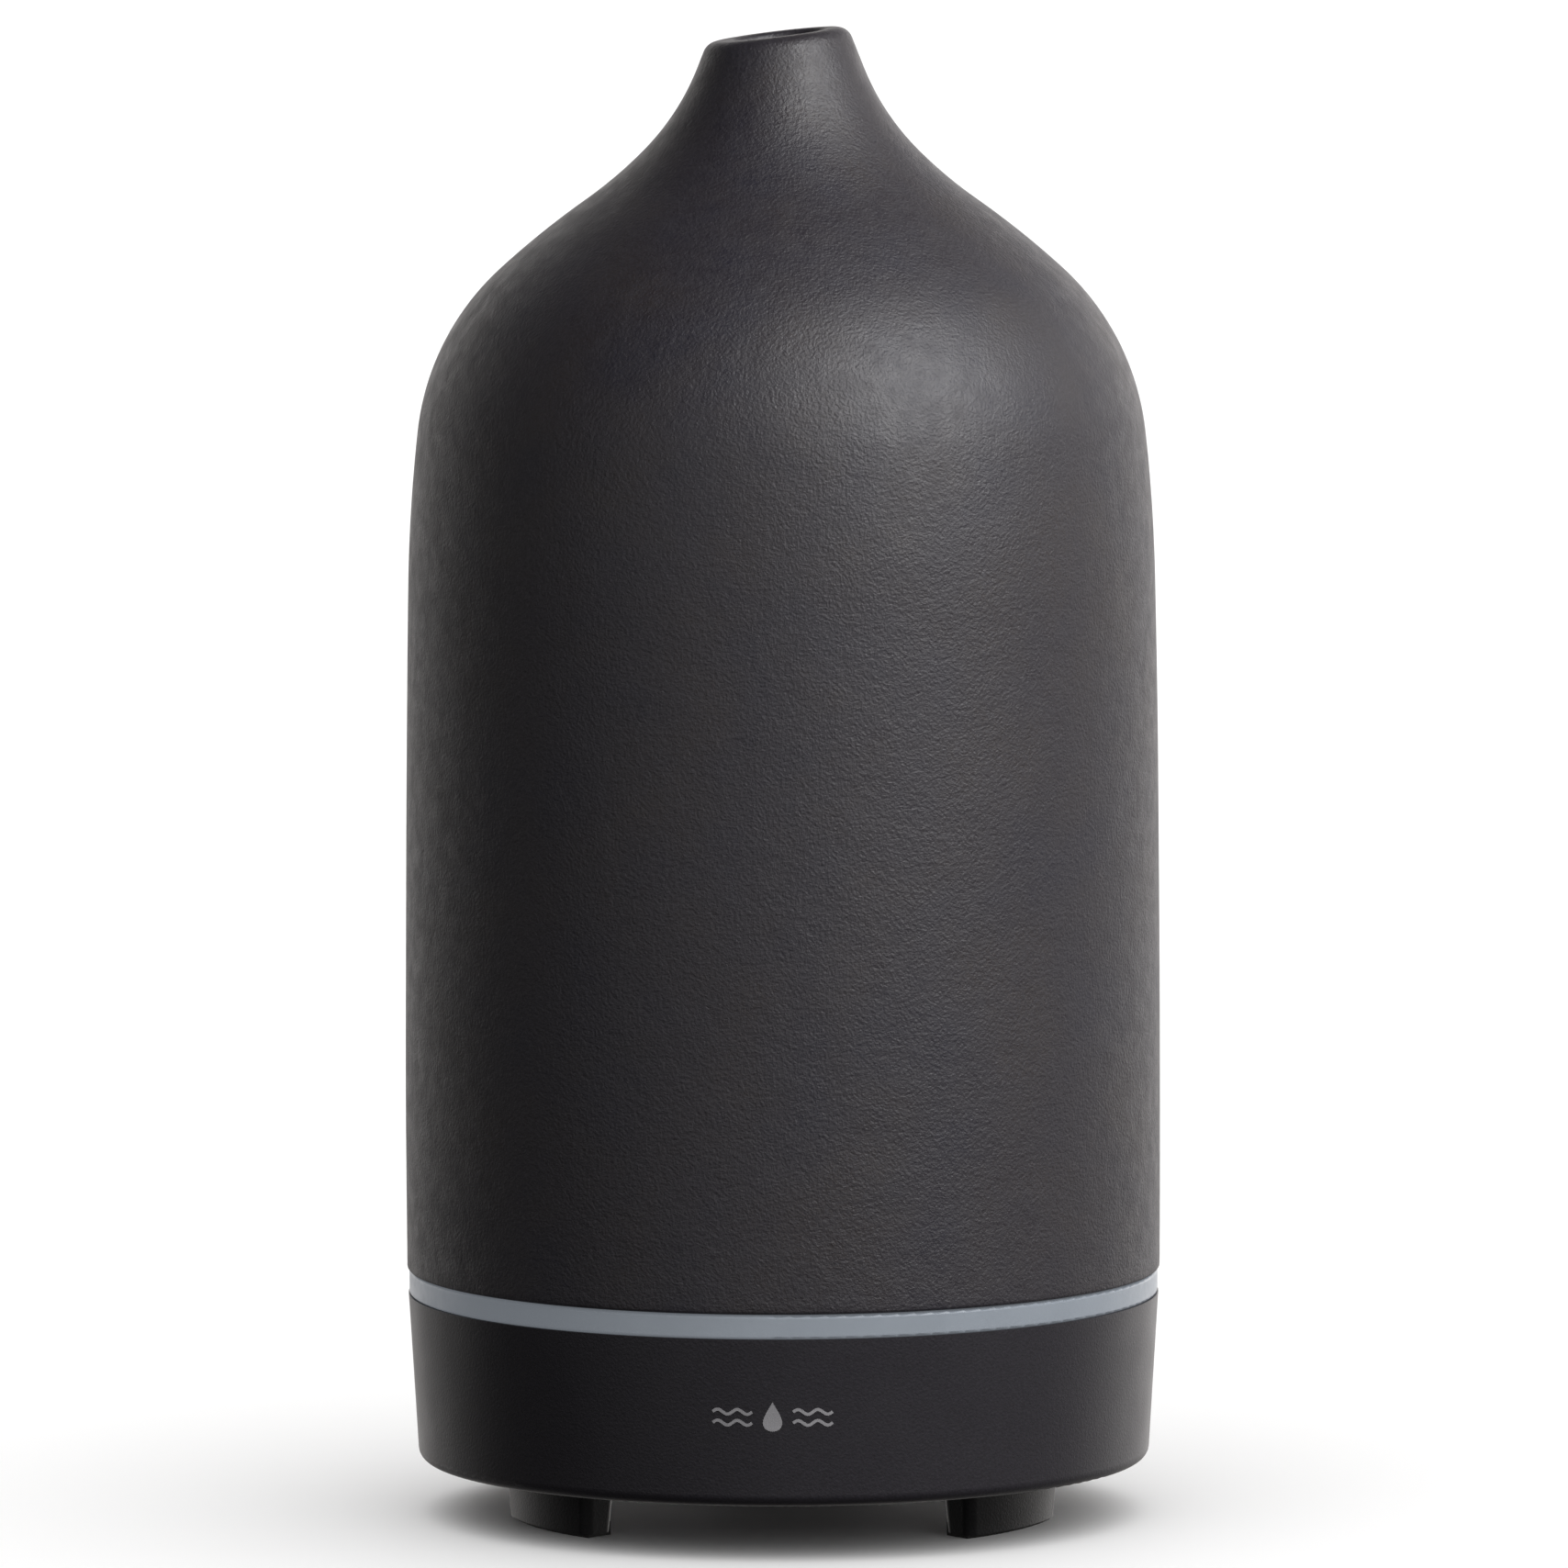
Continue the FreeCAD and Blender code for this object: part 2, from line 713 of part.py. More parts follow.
def build_water_tank():
    body = new_body("WaterTank")
    hole, cup, cup_outer = dim.mist_hole_radius, dim.cup_radius, dim.cup_outer_radius
    inner, outer = dim.tank_inner_radius, dim.tank_outer_radius
    corner = dim.tank_corner
    revolve(body, [
        (hole, dim.tank_ceiling),
        (cup, dim.tank_ceiling),
        (cup, dim.cup_bottom),
        (cup_outer, dim.cup_bottom),
        (cup_outer, dim.tank_ceiling),
        (inner + 0.4, dim.tank_ceiling),
        (inner + 0.4, dim.deck_bottom),
        (dim.deck_radius, dim.deck_bottom),
        (dim.deck_radius, dim.seat_level),
        (dim.skirt_radius, dim.seat_level),
        (dim.skirt_radius, dim.collar_top - 0.6),
        (dim.skirt_radius - 0.6, dim.collar_top),
        (outer, dim.collar_top),
        (outer, dim.tank_rim),
        (inner, dim.tank_rim),
        (inner, dim.tank_floor_edge + corner, corner, -1),
        (inner - corner, dim.tank_floor_edge),
        (hole + 1.5, dim.tank_floor),
        (hole, dim.tank_floor),
    ])
    wall, half = dim.chimney_wall, dim.chimney_half_width
    shaft = new_sketch(body, "Chimney", "XY_Plane", dim.tank_ceiling)
    left, right = dim.chimney_left, dim.chimney_right
    rectangle(shaft, left - wall, -half - wall, right + wall, half + wall)
    pad(body, shaft, dim.chimney_top - dim.tank_ceiling)
    passage = new_sketch(body, "ChimneyPassage", "XY_Plane", dim.tank_ceiling - 2)
    rectangle(passage, left, -half, right, half)
    pocket(body, passage, dim.chimney_top - dim.tank_ceiling + 4)

    boss = new_sketch(body, "HousingBoss", "XY_Plane", dim.plate_top)
    circle(boss, *around(dim.tank_boss_circle, HOUSING_ANGLES[0]), dim.tank_boss_radius)
    polar(body, pad(body, boss, dim.tank_ceiling - dim.plate_top + 0.4))
    bore = new_sketch(body, "HousingBore", "XY_Plane", dim.plate_top - 1)
    circle(bore, *around(dim.tank_boss_circle, HOUSING_ANGLES[0]), 1.1)
    polar(body, pocket(body, bore, 13))

    ear = new_sketch(body, "ClampBoss", "XY_Plane", dim.cup_bottom)
    circle(ear, *around(dim.clamp_ear_circle, EAR_ANGLES[0]), 2.8)
    polar(body, pad(body, ear, dim.tank_ceiling - dim.cup_bottom + 0.4))
    thread = new_sketch(body, "ClampBore", "XY_Plane", dim.cup_bottom - 1)
    circle(thread, *around(dim.clamp_ear_circle, EAR_ANGLES[0]), 0.9)
    polar(body, pocket(body, thread, 6.2))

    post_foot = dim.led_board_bottom + dim.led_board_thickness
    post = new_sketch(body, "LightPost", "XY_Plane", post_foot)
    circle(post, *around(dim.light_post_circle, LIGHT_POST_ANGLES[0]), 1.2)
    polar(body, pad(body, post, dim.deck_bottom - post_foot + 0.4))

    line = new_sketch(body, "FillLine")
    low = dim.fill_line
    outline(line, [
        (inner - 0.3, low - 0.3),
        (inner + 0.2, low - 0.6),
        (inner + 0.2, low + 0.6),
        (inner - 0.3, low + 0.3),
    ])
    bead = body.newObject("PartDesign::Revolution", "FillLineBead")
    bead.Profile = line
    bead.ReferenceAxis = (line, ["V_Axis"])
    bead.Angle = 360
    doc.recompute()
    keep(body, "water_tank")


def build_bottom_cover():
    body = new_body("BottomCover")
    disc = new_sketch(body, "Plate", "XY_Plane", dim.plate_bottom)
    circle(disc, 0, 0, dim.plate_radius)
    thickness = dim.plate_top - dim.plate_bottom
    pad(body, disc, thickness)

    rib = new_sketch(body, "FilterRib", "XY_Plane", dim.plate_top)
    circle(rib, dim.fan_x, dim.fan_y, dim.filter_radius + 1.5)
    circle(rib, dim.fan_x, dim.fan_y, dim.filter_radius + 0.3)
    pad(body, rib, dim.case_bottom - dim.plate_top)
    posts = new_sketch(body, "BlowerPosts", "XY_Plane", dim.plate_top)
    for x, y in BLOWER_SCREWS:
        circle(posts, x, y, 2.2)
    pad(body, posts, dim.case_bottom - dim.plate_top)
    stands = new_sketch(body, "BoardPosts", "XY_Plane", dim.plate_top)
    for x, y in BOARD_SCREWS:
        circle(stands, x, y, 2.6)
    pad(body, stands, dim.board_bottom - dim.plate_top)

    slots = new_sketch(body, "IntakeSlots", "XY_Plane", dim.plate_bottom - 1)
    half_width = dim.slot_width / 2
    for step in range(-2, 3):
        middle = dim.fan_y + dim.slot_pitch * step
        half = math.sqrt(dim.slot_circle.value ** 2 - (dim.slot_pitch.value * step) ** 2)
        left, right = dim.fan_x - half, dim.fan_x + half
        rectangle(slots, left, middle - half_width, right, middle + half_width)
    pocket(body, slots, thickness + 2)
    bores = new_sketch(body, "PostBores", "XY_Plane", dim.plate_bottom + 1)
    for x, y in BLOWER_SCREWS + BOARD_SCREWS:
        circle(bores, x, y, 0.9)
    pocket(body, bores, 6)

    recess = new_sketch(body, "ScrewRecess", "XY_Plane", dim.plate_bottom - 1)
    circle(recess, *around(dim.tank_boss_circle, HOUSING_ANGLES[0]), 2.9)
    polar(body, pocket(body, recess, 2.2))
    through = new_sketch(body, "ScrewHole", "XY_Plane", dim.plate_bottom)
    circle(through, *around(dim.tank_boss_circle, HOUSING_ANGLES[0]), 1.25)
    polar(body, pocket(body, through, 4))
    for side in (-1, 1):
        peg = new_sketch(body, "PegHole", "XY_Plane", dim.plate_bottom - 1)
        angle = dim.peg_half_angle * side + FOOT_ANGLES["foot_rear"]
        circle(peg, *around(dim.peg_circle, angle), dim.peg_radius + 0.05)
        polar(body, pocket(body, peg, 4))
    keep(body, "bottom_cover")

    screws = [
        screw(f"HousingScrew{angle}", *around(dim.tank_boss_circle, angle),
              dim.plate_bottom, 2.6, 1.2, 1.1, 11)
        for angle in HOUSING_ANGLES
    ]
    keep(group("HousingScrews", screws), "housing_screws")
    foam = rod("IntakeFilter", dim.filter_radius, dim.plate_top, dim.case_bottom, dim.fan_x, dim.fan_y)
    keep(foam, "intake_filter")


def foot_outline(body, name, inset, bottom):
    """Sketches a foot's shape, an arc centred on +X, drawn in by inset all round."""
    inset = as_size(inset)
    half = dim.foot_half_angle
    inner, outer = dim.foot_inner_radius + inset, dim.foot_outer_radius - inset
    inner_x, outer_x = inner * cosine(half), outer * cosine(half)
    inner_y, outer_y = inner * sine(half) - inset, outer * sine(half) - inset
    sketch = new_sketch(body, name, "XY_Plane", bottom)
    outline(sketch, [
        (inner_x, inner_y, inner, -1),
        (inner_x, -inner_y),
        (outer_x, -outer_y, outer, 1),
        (outer_x, outer_y),
    ])
    return sketch


def build_feet():
    pads = []
    for name, angle in FOOT_ANGLES.items():
        turn = FreeCAD.Placement(Vector(0, 0, 0), FreeCAD.Rotation(Z_AXIS, angle))
        tag = name.title().replace("_", "")
        body = new_body(tag)
        top = dim.plate_bottom
        block_outline = foot_outline(body, f"{tag}Block", 0, top)
        pad(body, block_outline, top - dim.foot_bottom, dim.foot_draft, downward=True)
        fillet(body, dim.foot_round, lambda edge: edge.BoundBox.ZLength > 5)
        recess = foot_outline(body, f"{tag}Recess", dim.pad_inset - 0.05, dim.foot_bottom - 1)
        pocket(body, recess, dim.pad_top - dim.foot_bottom + 1)
        pegs = new_sketch(body, f"{tag}Pegs", "XY_Plane", top - 1)
        for side in (-1, 1):
            circle(pegs, *around(dim.peg_circle, dim.peg_half_angle * side), dim.peg_radius)
        pad(body, pegs, 3.2)
        body.Placement = turn
        keep(body, name)
        sole = new_body(f"{tag}Pad")
        pad(sole, foot_outline(sole, f"{tag}Sole", dim.pad_inset, 0), dim.pad_top)
        sole.Placement = turn
        pads.append(sole)
    keep(group("FootPads", pads), "foot_pads")


# ---------------------------------------------------------------- ultrasonic disc

def build_transducer():
    top = dim.disc_bottom + dim.disc_thickness
    plate = rod("DiscPlate", dim.disc_radius - 0.05, dim.disc_bottom, top)
    keep(plate, "transducer_disc")

    seal = new_body("TransducerSeal")
    inner, outer = dim.mist_hole_radius + 0.3, dim.cup_radius - 0.05
    revolve(seal, [
        (inner, dim.disc_bottom - 1.1),
        (outer, dim.disc_bottom - 1.1),
        (outer, dim.tank_ceiling),
        (inner, dim.tank_ceiling),
        (inner, top),
        (dim.disc_radius, top),
        (dim.disc_radius, dim.disc_bottom),
        (inner, dim.disc_bottom),
    ])
    keep(seal, "transducer_seal")

    clamp = new_body("TransducerClamp")
    flat = new_sketch(clamp, "ClampPlate", "XY_Plane", dim.clamp_bottom)
    circle(flat, 0, 0, dim.cup_outer_radius)
    circle(flat, 0, 0, 7)
    pad(clamp, flat, dim.cup_bottom - dim.clamp_bottom)
    lip = new_sketch(clamp, "ClampLip", "XY_Plane", dim.clamp_bottom + 0.5)
    circle(lip, 0, 0, dim.cup_radius - 0.2)
    circle(lip, 0, 0, inner + 0.2)
    pad(clamp, lip, dim.disc_bottom - 1.1 - dim.clamp_bottom - 0.5)
    ear = new_sketch(clamp, "ClampEar", "XY_Plane", dim.clamp_bottom)
    circle(ear, *around(dim.clamp_ear_circle - 1, EAR_ANGLES[0]), 3.8)
    polar(clamp, pad(clamp, ear, dim.cup_bottom - dim.clamp_bottom))
    hole = new_sketch(clamp, "EarHole", "XY_Plane", dim.clamp_bottom - 1)
    circle(hole, *around(dim.clamp_ear_circle, EAR_ANGLES[0]), 1.05)
    polar(clamp, pocket(clamp, hole, 4))
    keep(clamp, "transducer_clamp")

    screws = [
        screw(f"ClampScrew{angle}", *around(dim.clamp_ear_circle, angle),
              dim.clamp_bottom - 1.4, 1.9, 1.4, 0.9, 5)
        for angle in EAR_ANGLES
    ]
    keep(group("ClampScrews", screws), "clamp_screws")


# ---------------------------------------------------------------- blower

def build_blower():
    x, y = dim.fan_x, dim.fan_y
    left, front = dim.case_left, dim.case_front
    right, back = left + dim.case_side, front + dim.case_side
    floor = dim.case_bottom + dim.case_plate
    shell = block("CaseBlock", left, right, front, back, dim.case_bottom, dim.case_top)
    hollows = [
        rod("CaseVolute", dim.volute_radius, floor, dim.case_top + 1, x, y),
        block("CaseOutlet", x, right + 1, dim.outlet_front, dim.outlet_back, floor, dim.case_top + 1),
        rod("CaseIntake", dim.intake_radius, dim.case_bottom - 1, floor + 1, x, y),
    ]
    for number, (at_x, at_y) in enumerate(BLOWER_SCREWS):
        hollows.append(rod(f"CaseBore{number}", 1.05, 10, 20, at_x, at_y))
    keep(cut("BlowerCase", shell, hollows), "blower_case")

    lid_top = dim.case_top + dim.case_plate
    lid = block("LidPlate", left, right, front, back, dim.case_top, lid_top)
    terminal = block("LidTerminal", -2.4, 0.4, -2.4, 2.6, lid_top - 0.2, lid_top + 1.4)
    bores = [rod(f"LidBore{number}", 1.05, 18, 22, at_x, at_y)
             for number, (at_x, at_y) in enumerate(BLOWER_SCREWS)]
    keep(cut("BlowerLid", fuse("LidSolid", [lid, terminal]), bores), "blower_lid")

    screws = [
        screw(f"BlowerScrew{number}", at_x, at_y, lid_top, 1.8, 1.2, 0.9, 10.4, up=False)
        for number, (at_x, at_y) in enumerate(BLOWER_SCREWS)
    ]
    keep(group("BlowerScrews", screws), "blower_screws")

    bearing_low = dim.wheel_bottom + dim.hub_wall + 0.4
    bearing_high, shaft_bore = dim.case_top, dim.shaft_radius + 0.04
    keep(fuse("BlowerBearing", [
        ring("BearingSleeve", dim.bearing_radius, shaft_bore, bearing_low, bearing_high, x, y),
        ring("BearingFlange", 3, 1.2, bearing_high - 0.5, bearing_high, x, y),
    ]), "blower_bearing")

    core_low, core_high = dim.wheel_bottom + 1.9, dim.case_top - 1.3
    core = [ring("StatorCore", 2.7, dim.bearing_radius, core_low, core_high, x, y)]
    coils = []
    for number in range(4):
        angle = 90 * number
        arm = turned_box(f"StatorArm{number}", (2.2, 1.2, core_high - core_low),
                         x + cosine(angle) * 2.3 + sine(angle) * 0.6,
                         y + sine(angle) * 2.3 - cosine(angle) * 0.6, core_low, angle)
        core.append(arm)
        winding = turned_box(f"CoilBlock{number}", (1, 2.2, core_high - core_low - 0.4),
                             x + cosine(angle) * 3.1 + sine(angle) * 1.1,
                             y + sine(angle) * 3.1 - cosine(angle) * 1.1, core_low + 0.2, angle)
        coils.append(cut(f"StatorCoil{number}", winding, [arm]))
    keep(fuse("BlowerStator", core), "blower_stator")
    keep(group("StatorCoils", coils), "stator_coils")

    hub, wall = dim.hub_radius, dim.hub_wall
    bottom, top = dim.wheel_bottom, dim.wheel_top
    solid = [
        rod("HubFloor", hub, bottom, bottom + wall, x, y),
        ring("HubWall", hub, hub - wall, bottom, top, x, y),
        ring("WheelPlate", dim.wheel_radius, hub - wall, top - wall, top, x, y),
    ]
    for number in range(BLADE_COUNT):
        angle = 360 * number / BLADE_COUNT
        at_x, at_y = x + cosine(angle) * dim.blade_circle, y + sine(angle) * dim.blade_circle
        size = (dim.blade_length, dim.blade_thickness, top - bottom - 0.2)
        solid.append(turned_box(f"Blade{number}", size, at_x, at_y, bottom, angle + BLADE_SWEEP))
    wheel = fuse("WheelSolid", solid)
    keep(cut("BlowerRotor", wheel, [rod("WheelBore", dim.shaft_radius, 10, 18, x, y)]), "blower_rotor")
    keep(ring("RotorMagnet", hub - wall, hub - wall - 0.6, bottom + wall, top - 0.4, x, y),
         "rotor_magnet")
    keep(rod("RotorShaft", dim.shaft_radius, bottom, dim.case_top - 0.3, x, y), "rotor_shaft")


def build_air_duct():
    """Carries air from the blower outlet up to the chimney in the tank."""
    left = dim.case_left + dim.case_side
    wall, half = dim.chimney_wall, dim.chimney_half_width
    back = dim.outlet_back
    inner_left, inner_right = left + wall, dim.chimney_right
    tower = block("DuctTower", left, inner_right + wall, -half - wall, back + wall,
                  dim.plate_top, dim.tank_ceiling)
    hollow = block("DuctHollow", inner_left, inner_right, -half, back,
                   dim.plate_top + wall, dim.tank_ceiling + 1)
    window = block("DuctWindow", left - 1, inner_left + 1, dim.outlet_front, back,
                   dim.case_bottom + dim.case_plate, dim.case_top)
    keep(cut("AirDuct", tower, [hollow, window]), "air_duct")


# ---------------------------------------------------------------- circuit boards

def build_boards():
    top = dim.board_bottom + dim.board_thickness
    disc = rod("BoardDisc", dim.board_radius, dim.board_bottom, top)
    gaps = [block("BoardGap", -4.5, 40, -22.5, 10.5, 10, 16)]
    for angle in HOUSING_ANGLES:
        gaps.append(rod(f"BoardNotch{angle}", 4, 10, 16, *around(dim.tank_boss_circle, angle)))
    for number, (x, y) in enumerate(BOARD_SCREWS):
        gaps.append(rod(f"BoardBore{number}", 1.1, 10, 16, x, y))
    keep(cut("MainBoard", disc, gaps), "main_board")
    screws = [screw(f"BoardScrew{number}", x, y, top, 1.9, 1.2, 0.9, 4.2, up=False)
              for number, (x, y) in enumerate(BOARD_SCREWS)]
    keep(group("BoardScrews", screws), "board_screws")

    low = dim.led_board_bottom
    high = low + dim.led_board_thickness
    keep(ring("LedBoard", dim.led_board_outer_radius, dim.led_board_inner_radius, low, high),
         "led_board")
    lamps = []
    for number in range(LED_COUNT):
        angle = 22.5 + 360 * number / LED_COUNT
        lamps.append(radial_block(f"Led{number}", 37.8, 39.3, 1.4, high, high + 1, angle))
    keep(group("Leds", lamps), "leds")


def build_components():
    top = dim.board_bottom + dim.board_thickness
    cans = []
    for number, (x, y, radius, height) in enumerate(((-12, 20, 3.2, 11), (-20, 15, 2.5, 9))):
        foot = rod(f"CanFoot{number}", radius, top, top + 1.6, x, y)
        groove = rod(f"CanGroove{number}", radius - 0.4, top, top + 2.4, x, y)
        can = rod(f"CanBody{number}", radius, top + 2.4, top + height, x, y)
        cans.append(fuse(f"Capacitor{number}", [foot, groove, can]))
    keep(group("Capacitors", cans), "capacitors")

    x, y = -16, 5
    keep(fuse("DriverInductor", [
        rod("DrumFoot", 5, top, top + 1.2, x, y),
        rod("DrumCore", 2.6, top, top + 7, x, y),
        rod("DrumHead", 5, top + 5.8, top + 7, x, y),
    ]), "driver_inductor")
    keep(ring("InductorCoil", 4.5, 2.6, top + 1.2, top + 5.8, x, y), "inductor_coil")

    sink = [block("SinkPlate", -28, -26.5, -14, 2, top, top + 12)]
    for number in range(6):
        front = -14 + number * 3.02
        sink.append(block(f"SinkFin{number}", -33, -27.5, front, front + 0.9, top, top + 12))
    keep(fuse("HeatSink", sink), "heat_sink")
    legs = [block(f"TransistorLeg{number}", -24.4, -23.9, y, y + 0.8, top, top + 3.5)
            for number, y in enumerate((-8.9, -6.4, -3.9))]
    keep(fuse("DriveTransistor", legs + [
        block("TransistorBody", -26.5, -22.1, -11, -1, top + 3, top + 9),
        block("TransistorTab", -26.5, -25.2, -11, -1, top + 9, top + 12),
    ]), "drive_transistor")

    chip = [block("ChipBody", -18, -8, -21.5, -17.5, top + 0.1, top + 1.7)]
    for number in range(8):
        x = -17.45 + number * 1.27
        chip.append(block(f"ChipLead{number}", x, x + 0.4, -22.5, -16.5, top, top + 0.3))
    keep(fuse("ControllerChip", chip), "controller_chip")

    sockets = []
    plugs = (("Mist", -12.5, -6.5, -7.5, -3), ("Fan", -10, -5, 8, 12.5), ("Light", 6, 16, -30.5, -26))
    for name, left, right, front, back in plugs:
        outer = block(f"{name}Socket", left, right, front, back, top, top + 5)
        inner = block(f"{name}SocketWell", left + 0.6, right - 0.6, front + 0.6, back - 0.6,
                      top + 3.5, top + 6)
        sockets.append(cut(f"{name}Connector", outer, [inner]))
    keep(group("WireConnectors", sockets), "wire_connectors")


# ---------------------------------------------------------------- controls and inlet

def build_controls():
    top = dim.board_bottom + dim.board_thickness
    height = dim.control_height
    for name, angle in BUTTON_ANGLES.items():
        title = name.title()
        face = dim.button_face
        cap = radial_rod(f"{title}Cap", dim.button_radius, 39.2, face - 0.4, angle, height)
        crown = doc.addObject("Part::Cone", f"{title}Crown")
        bind(crown, "Radius1", dim.button_radius)
        bind(crown, "Radius2", dim.button_radius - 0.4)
        crown.Height = 0.4
        x, y = around(face - 0.4, angle)
        tilt = FreeCAD.Rotation(Z_AXIS, angle) * FreeCAD.Rotation(Vector(0, 1, 0), 90)
        place(crown, x, y, height, tilt)
        flange = radial_rod(f"{title}Flange", 5, 39.2, 40.5, angle, height)
        plunger = radial_rod(f"{title}Plunger", 1.9, 37.9, 39.4, angle, height)
        keep(fuse(f"{title}Button", [cap, crown, flange, plunger]), f"{name}_button")
        keep(radial_rod(f"{title}Stem", 1.7, 34.3, 37.9, angle, height), f"{name}_switch_stem")
        frame = radial_block(f"{title}SwitchBlock", 30.5, 36, 3.2, top, top + 8, angle)
        guide = radial_rod(f"{title}SwitchGuide", 1.78, 33.4, 37, angle, height)
        keep(cut(f"{title}Switch", frame, [guide]), f"{name}_switch")


def build_power_inlet():
    top = dim.board_bottom + dim.board_thickness
    height = dim.control_height
    shell = fuse("JackSolid", [
        block("JackBlock", -4.5, 4.5, 28, 40, top, top + 9),
        radial_rod("JackBarrel", dim.jack_barrel_radius, 39, dim.jack_face, 90, height),
    ])
    mouth_start = dim.jack_face - dim.jack_mouth_depth
    end, beyond = dim.jack_chamber_end, dim.jack_face + 1
    hollows = [
        radial_rod("JackMouth", dim.jack_mouth_radius, mouth_start, beyond, 90, height),
        radial_rod("JackChamber", dim.jack_chamber_radius, end, beyond, 90, height),
    ]
    keep(cut("DcJack", shell, hollows), "dc_jack")
    tip = dim.jack_face - dim.jack_pin_inset
    keep(radial_rod("JackPin", dim.jack_pin_radius, end, tip, 90, height), "dc_center_pin")


# ---------------------------------------------------------------- internal leads

def lead_path(points):
    """Straight runs through the points, joined by tangent arcs."""
    points = [Vector(*point) for point in points]
    edges, start = [], points[0]
    for before, here, after in zip(points, points[1:], points[2:]):
        back, ahead = before - here, after - here
        run = min(back.Length, ahead.Length)
        turn = math.pi - back.getAngle(ahead)
        radius = 0.45 * run / math.tan(turn / 2)
        reach = radius * math.tan(turn / 2)
        enter = here + back.normalize() * reach
        leave = here + ahead.normalize() * reach
        bisector = (back + ahead).normalize()
        middle = here + bisector * (radius / math.cos(turn / 2) - radius)
        edges.append(Part.LineSegment(start, enter).toShape())
        edges.append(Part.Arc(enter, middle, leave).toShape())
        start = leave
    edges.append(Part.LineSegment(start, points[-1]).toShape())
    return Part.Wire(edges)


def lead(points):
    path = lead_path(points)
    radius = dim.wire_radius.value
    direction = Vector(*points[1]) - Vector(*points[0])
    section = Part.Wire([Part.Circle(Vector(*points[0]), direction, radius).toShape()])
    tube = path.makePipeShell([section], True, False)
    expected = math.pi * radius ** 2 * path.Length
    if abs(tube.Volume / expected - 1) > 0.02:
        raise RuntimeError("a lead's volume is not its section times its length")
    return tube


def build_leads():
    """Each lead leaves its connector on the board and ends on the part that it feeds."""
    routes = {
        "transducer_leads": [
            [(-8.6, -6, 18.2), (-8.6, -6, 21.1), (-4.4, -4, 21.3), (-3, -3.4, 24), (-3, -3.4, 26.7)],
            [(-8.6, -4.4, 18.2), (-8.6, -4.4, 21.1), (-4.4, -2.4, 21.3), (-3, -1.6, 24),
             (-3, -1.6, 26.7)],
        ],
        "blower_leads": [
            [(-8.6, 10.2, 18.2), (-8.6, 10.2, 20.9), (-8, 3.2, 21), (-5.2, -0.9, 21),
             (-2.4, -0.9, 21)],
            [(-6.6, 10.2, 18.2), (-6.6, 10.2, 20.9), (-6.3, 4.4, 21), (-4.9, 1.2, 21),
             (-2.4, 1.2, 21)],
        ],
        "led_leads": [
            [(8 + 2 * n, -28.2, 18.2), (8 + 2 * n, -28.2, 21), (8.6 + 2 * n, -32, 22),
             (9.4 + 2.2 * n, -36.6 + 0.9 * n, 22.4), (9.4 + 2.2 * n, -36.6 + 0.9 * n, 24.5)]
            for n in range(3)
        ],
    }
    for name, runs in routes.items():
        feature = doc.addObject("Part::Feature", name.title().replace("_", ""))
        feature.Shape = Part.makeCompound([lead(points) for points in runs])
        feature.Placement = FreeCAD.Placement()
        keep(feature, name)


# ---------------------------------------------------------------- the whole object

def build_all():
    build_ceramic_cover()
    build_mist_hood()
    build_base_shell()
    build_light_ring()
    build_gaskets()
    build_water_tank()
    build_bottom_cover()
    build_feet()
    build_transducer()
    build_blower()
    build_air_duct()
    build_boards()
    build_components()
    build_controls()
    build_power_inlet()
    build_leads()
    doc.recompute()


def check_all():
    for thing in doc.Objects:
        if "Invalid" in thing.State or "Error" in thing.State:
            raise RuntimeError(f"{thing.Name} failed: {thing.State}")
    for thing in parts:
        if thing.Shape.isNull() or not thing.Shape.isValid():
            raise RuntimeError(f"{thing.Label} has no valid shape")


def export_all():
    os.makedirs("parts", exist_ok=True)
    for thing in parts:
        thing.Shape.exportStep(f"parts/{thing.Label}.step")
        box = thing.Shape.BoundBox
        print(f"{thing.Label:20s} solids {len(thing.Shape.Solids)} "
              f"volume {thing.Shape.Volume:9.1f} z {box.ZMin:6.2f} to {box.ZMax:6.2f}")


build_all()
check_all()
export_all()
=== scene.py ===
"""Looks of an essential oil diffuser: dark grained ceramic cover, light band and round base."""
import json
import math

import bpy
import numpy as np
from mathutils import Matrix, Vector


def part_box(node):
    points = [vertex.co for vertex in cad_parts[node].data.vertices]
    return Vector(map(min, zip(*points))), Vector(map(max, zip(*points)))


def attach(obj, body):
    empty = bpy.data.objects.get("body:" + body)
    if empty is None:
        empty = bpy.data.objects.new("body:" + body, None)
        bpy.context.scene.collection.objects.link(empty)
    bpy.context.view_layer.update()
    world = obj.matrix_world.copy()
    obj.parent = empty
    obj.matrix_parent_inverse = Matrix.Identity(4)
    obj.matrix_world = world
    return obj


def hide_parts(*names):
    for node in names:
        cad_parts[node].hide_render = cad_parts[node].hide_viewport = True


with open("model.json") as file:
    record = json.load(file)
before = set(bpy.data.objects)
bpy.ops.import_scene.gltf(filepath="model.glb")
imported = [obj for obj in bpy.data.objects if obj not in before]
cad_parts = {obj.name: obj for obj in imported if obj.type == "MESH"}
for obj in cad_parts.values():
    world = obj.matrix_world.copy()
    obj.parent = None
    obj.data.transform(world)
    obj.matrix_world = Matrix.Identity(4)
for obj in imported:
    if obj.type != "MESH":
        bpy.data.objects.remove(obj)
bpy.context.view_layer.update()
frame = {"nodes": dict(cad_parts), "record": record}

MM = 0.001
NODES = frame["nodes"]
COVER_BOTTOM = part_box("ceramic_cover")[0].z


# ---------------------------------------------------------------- node helpers

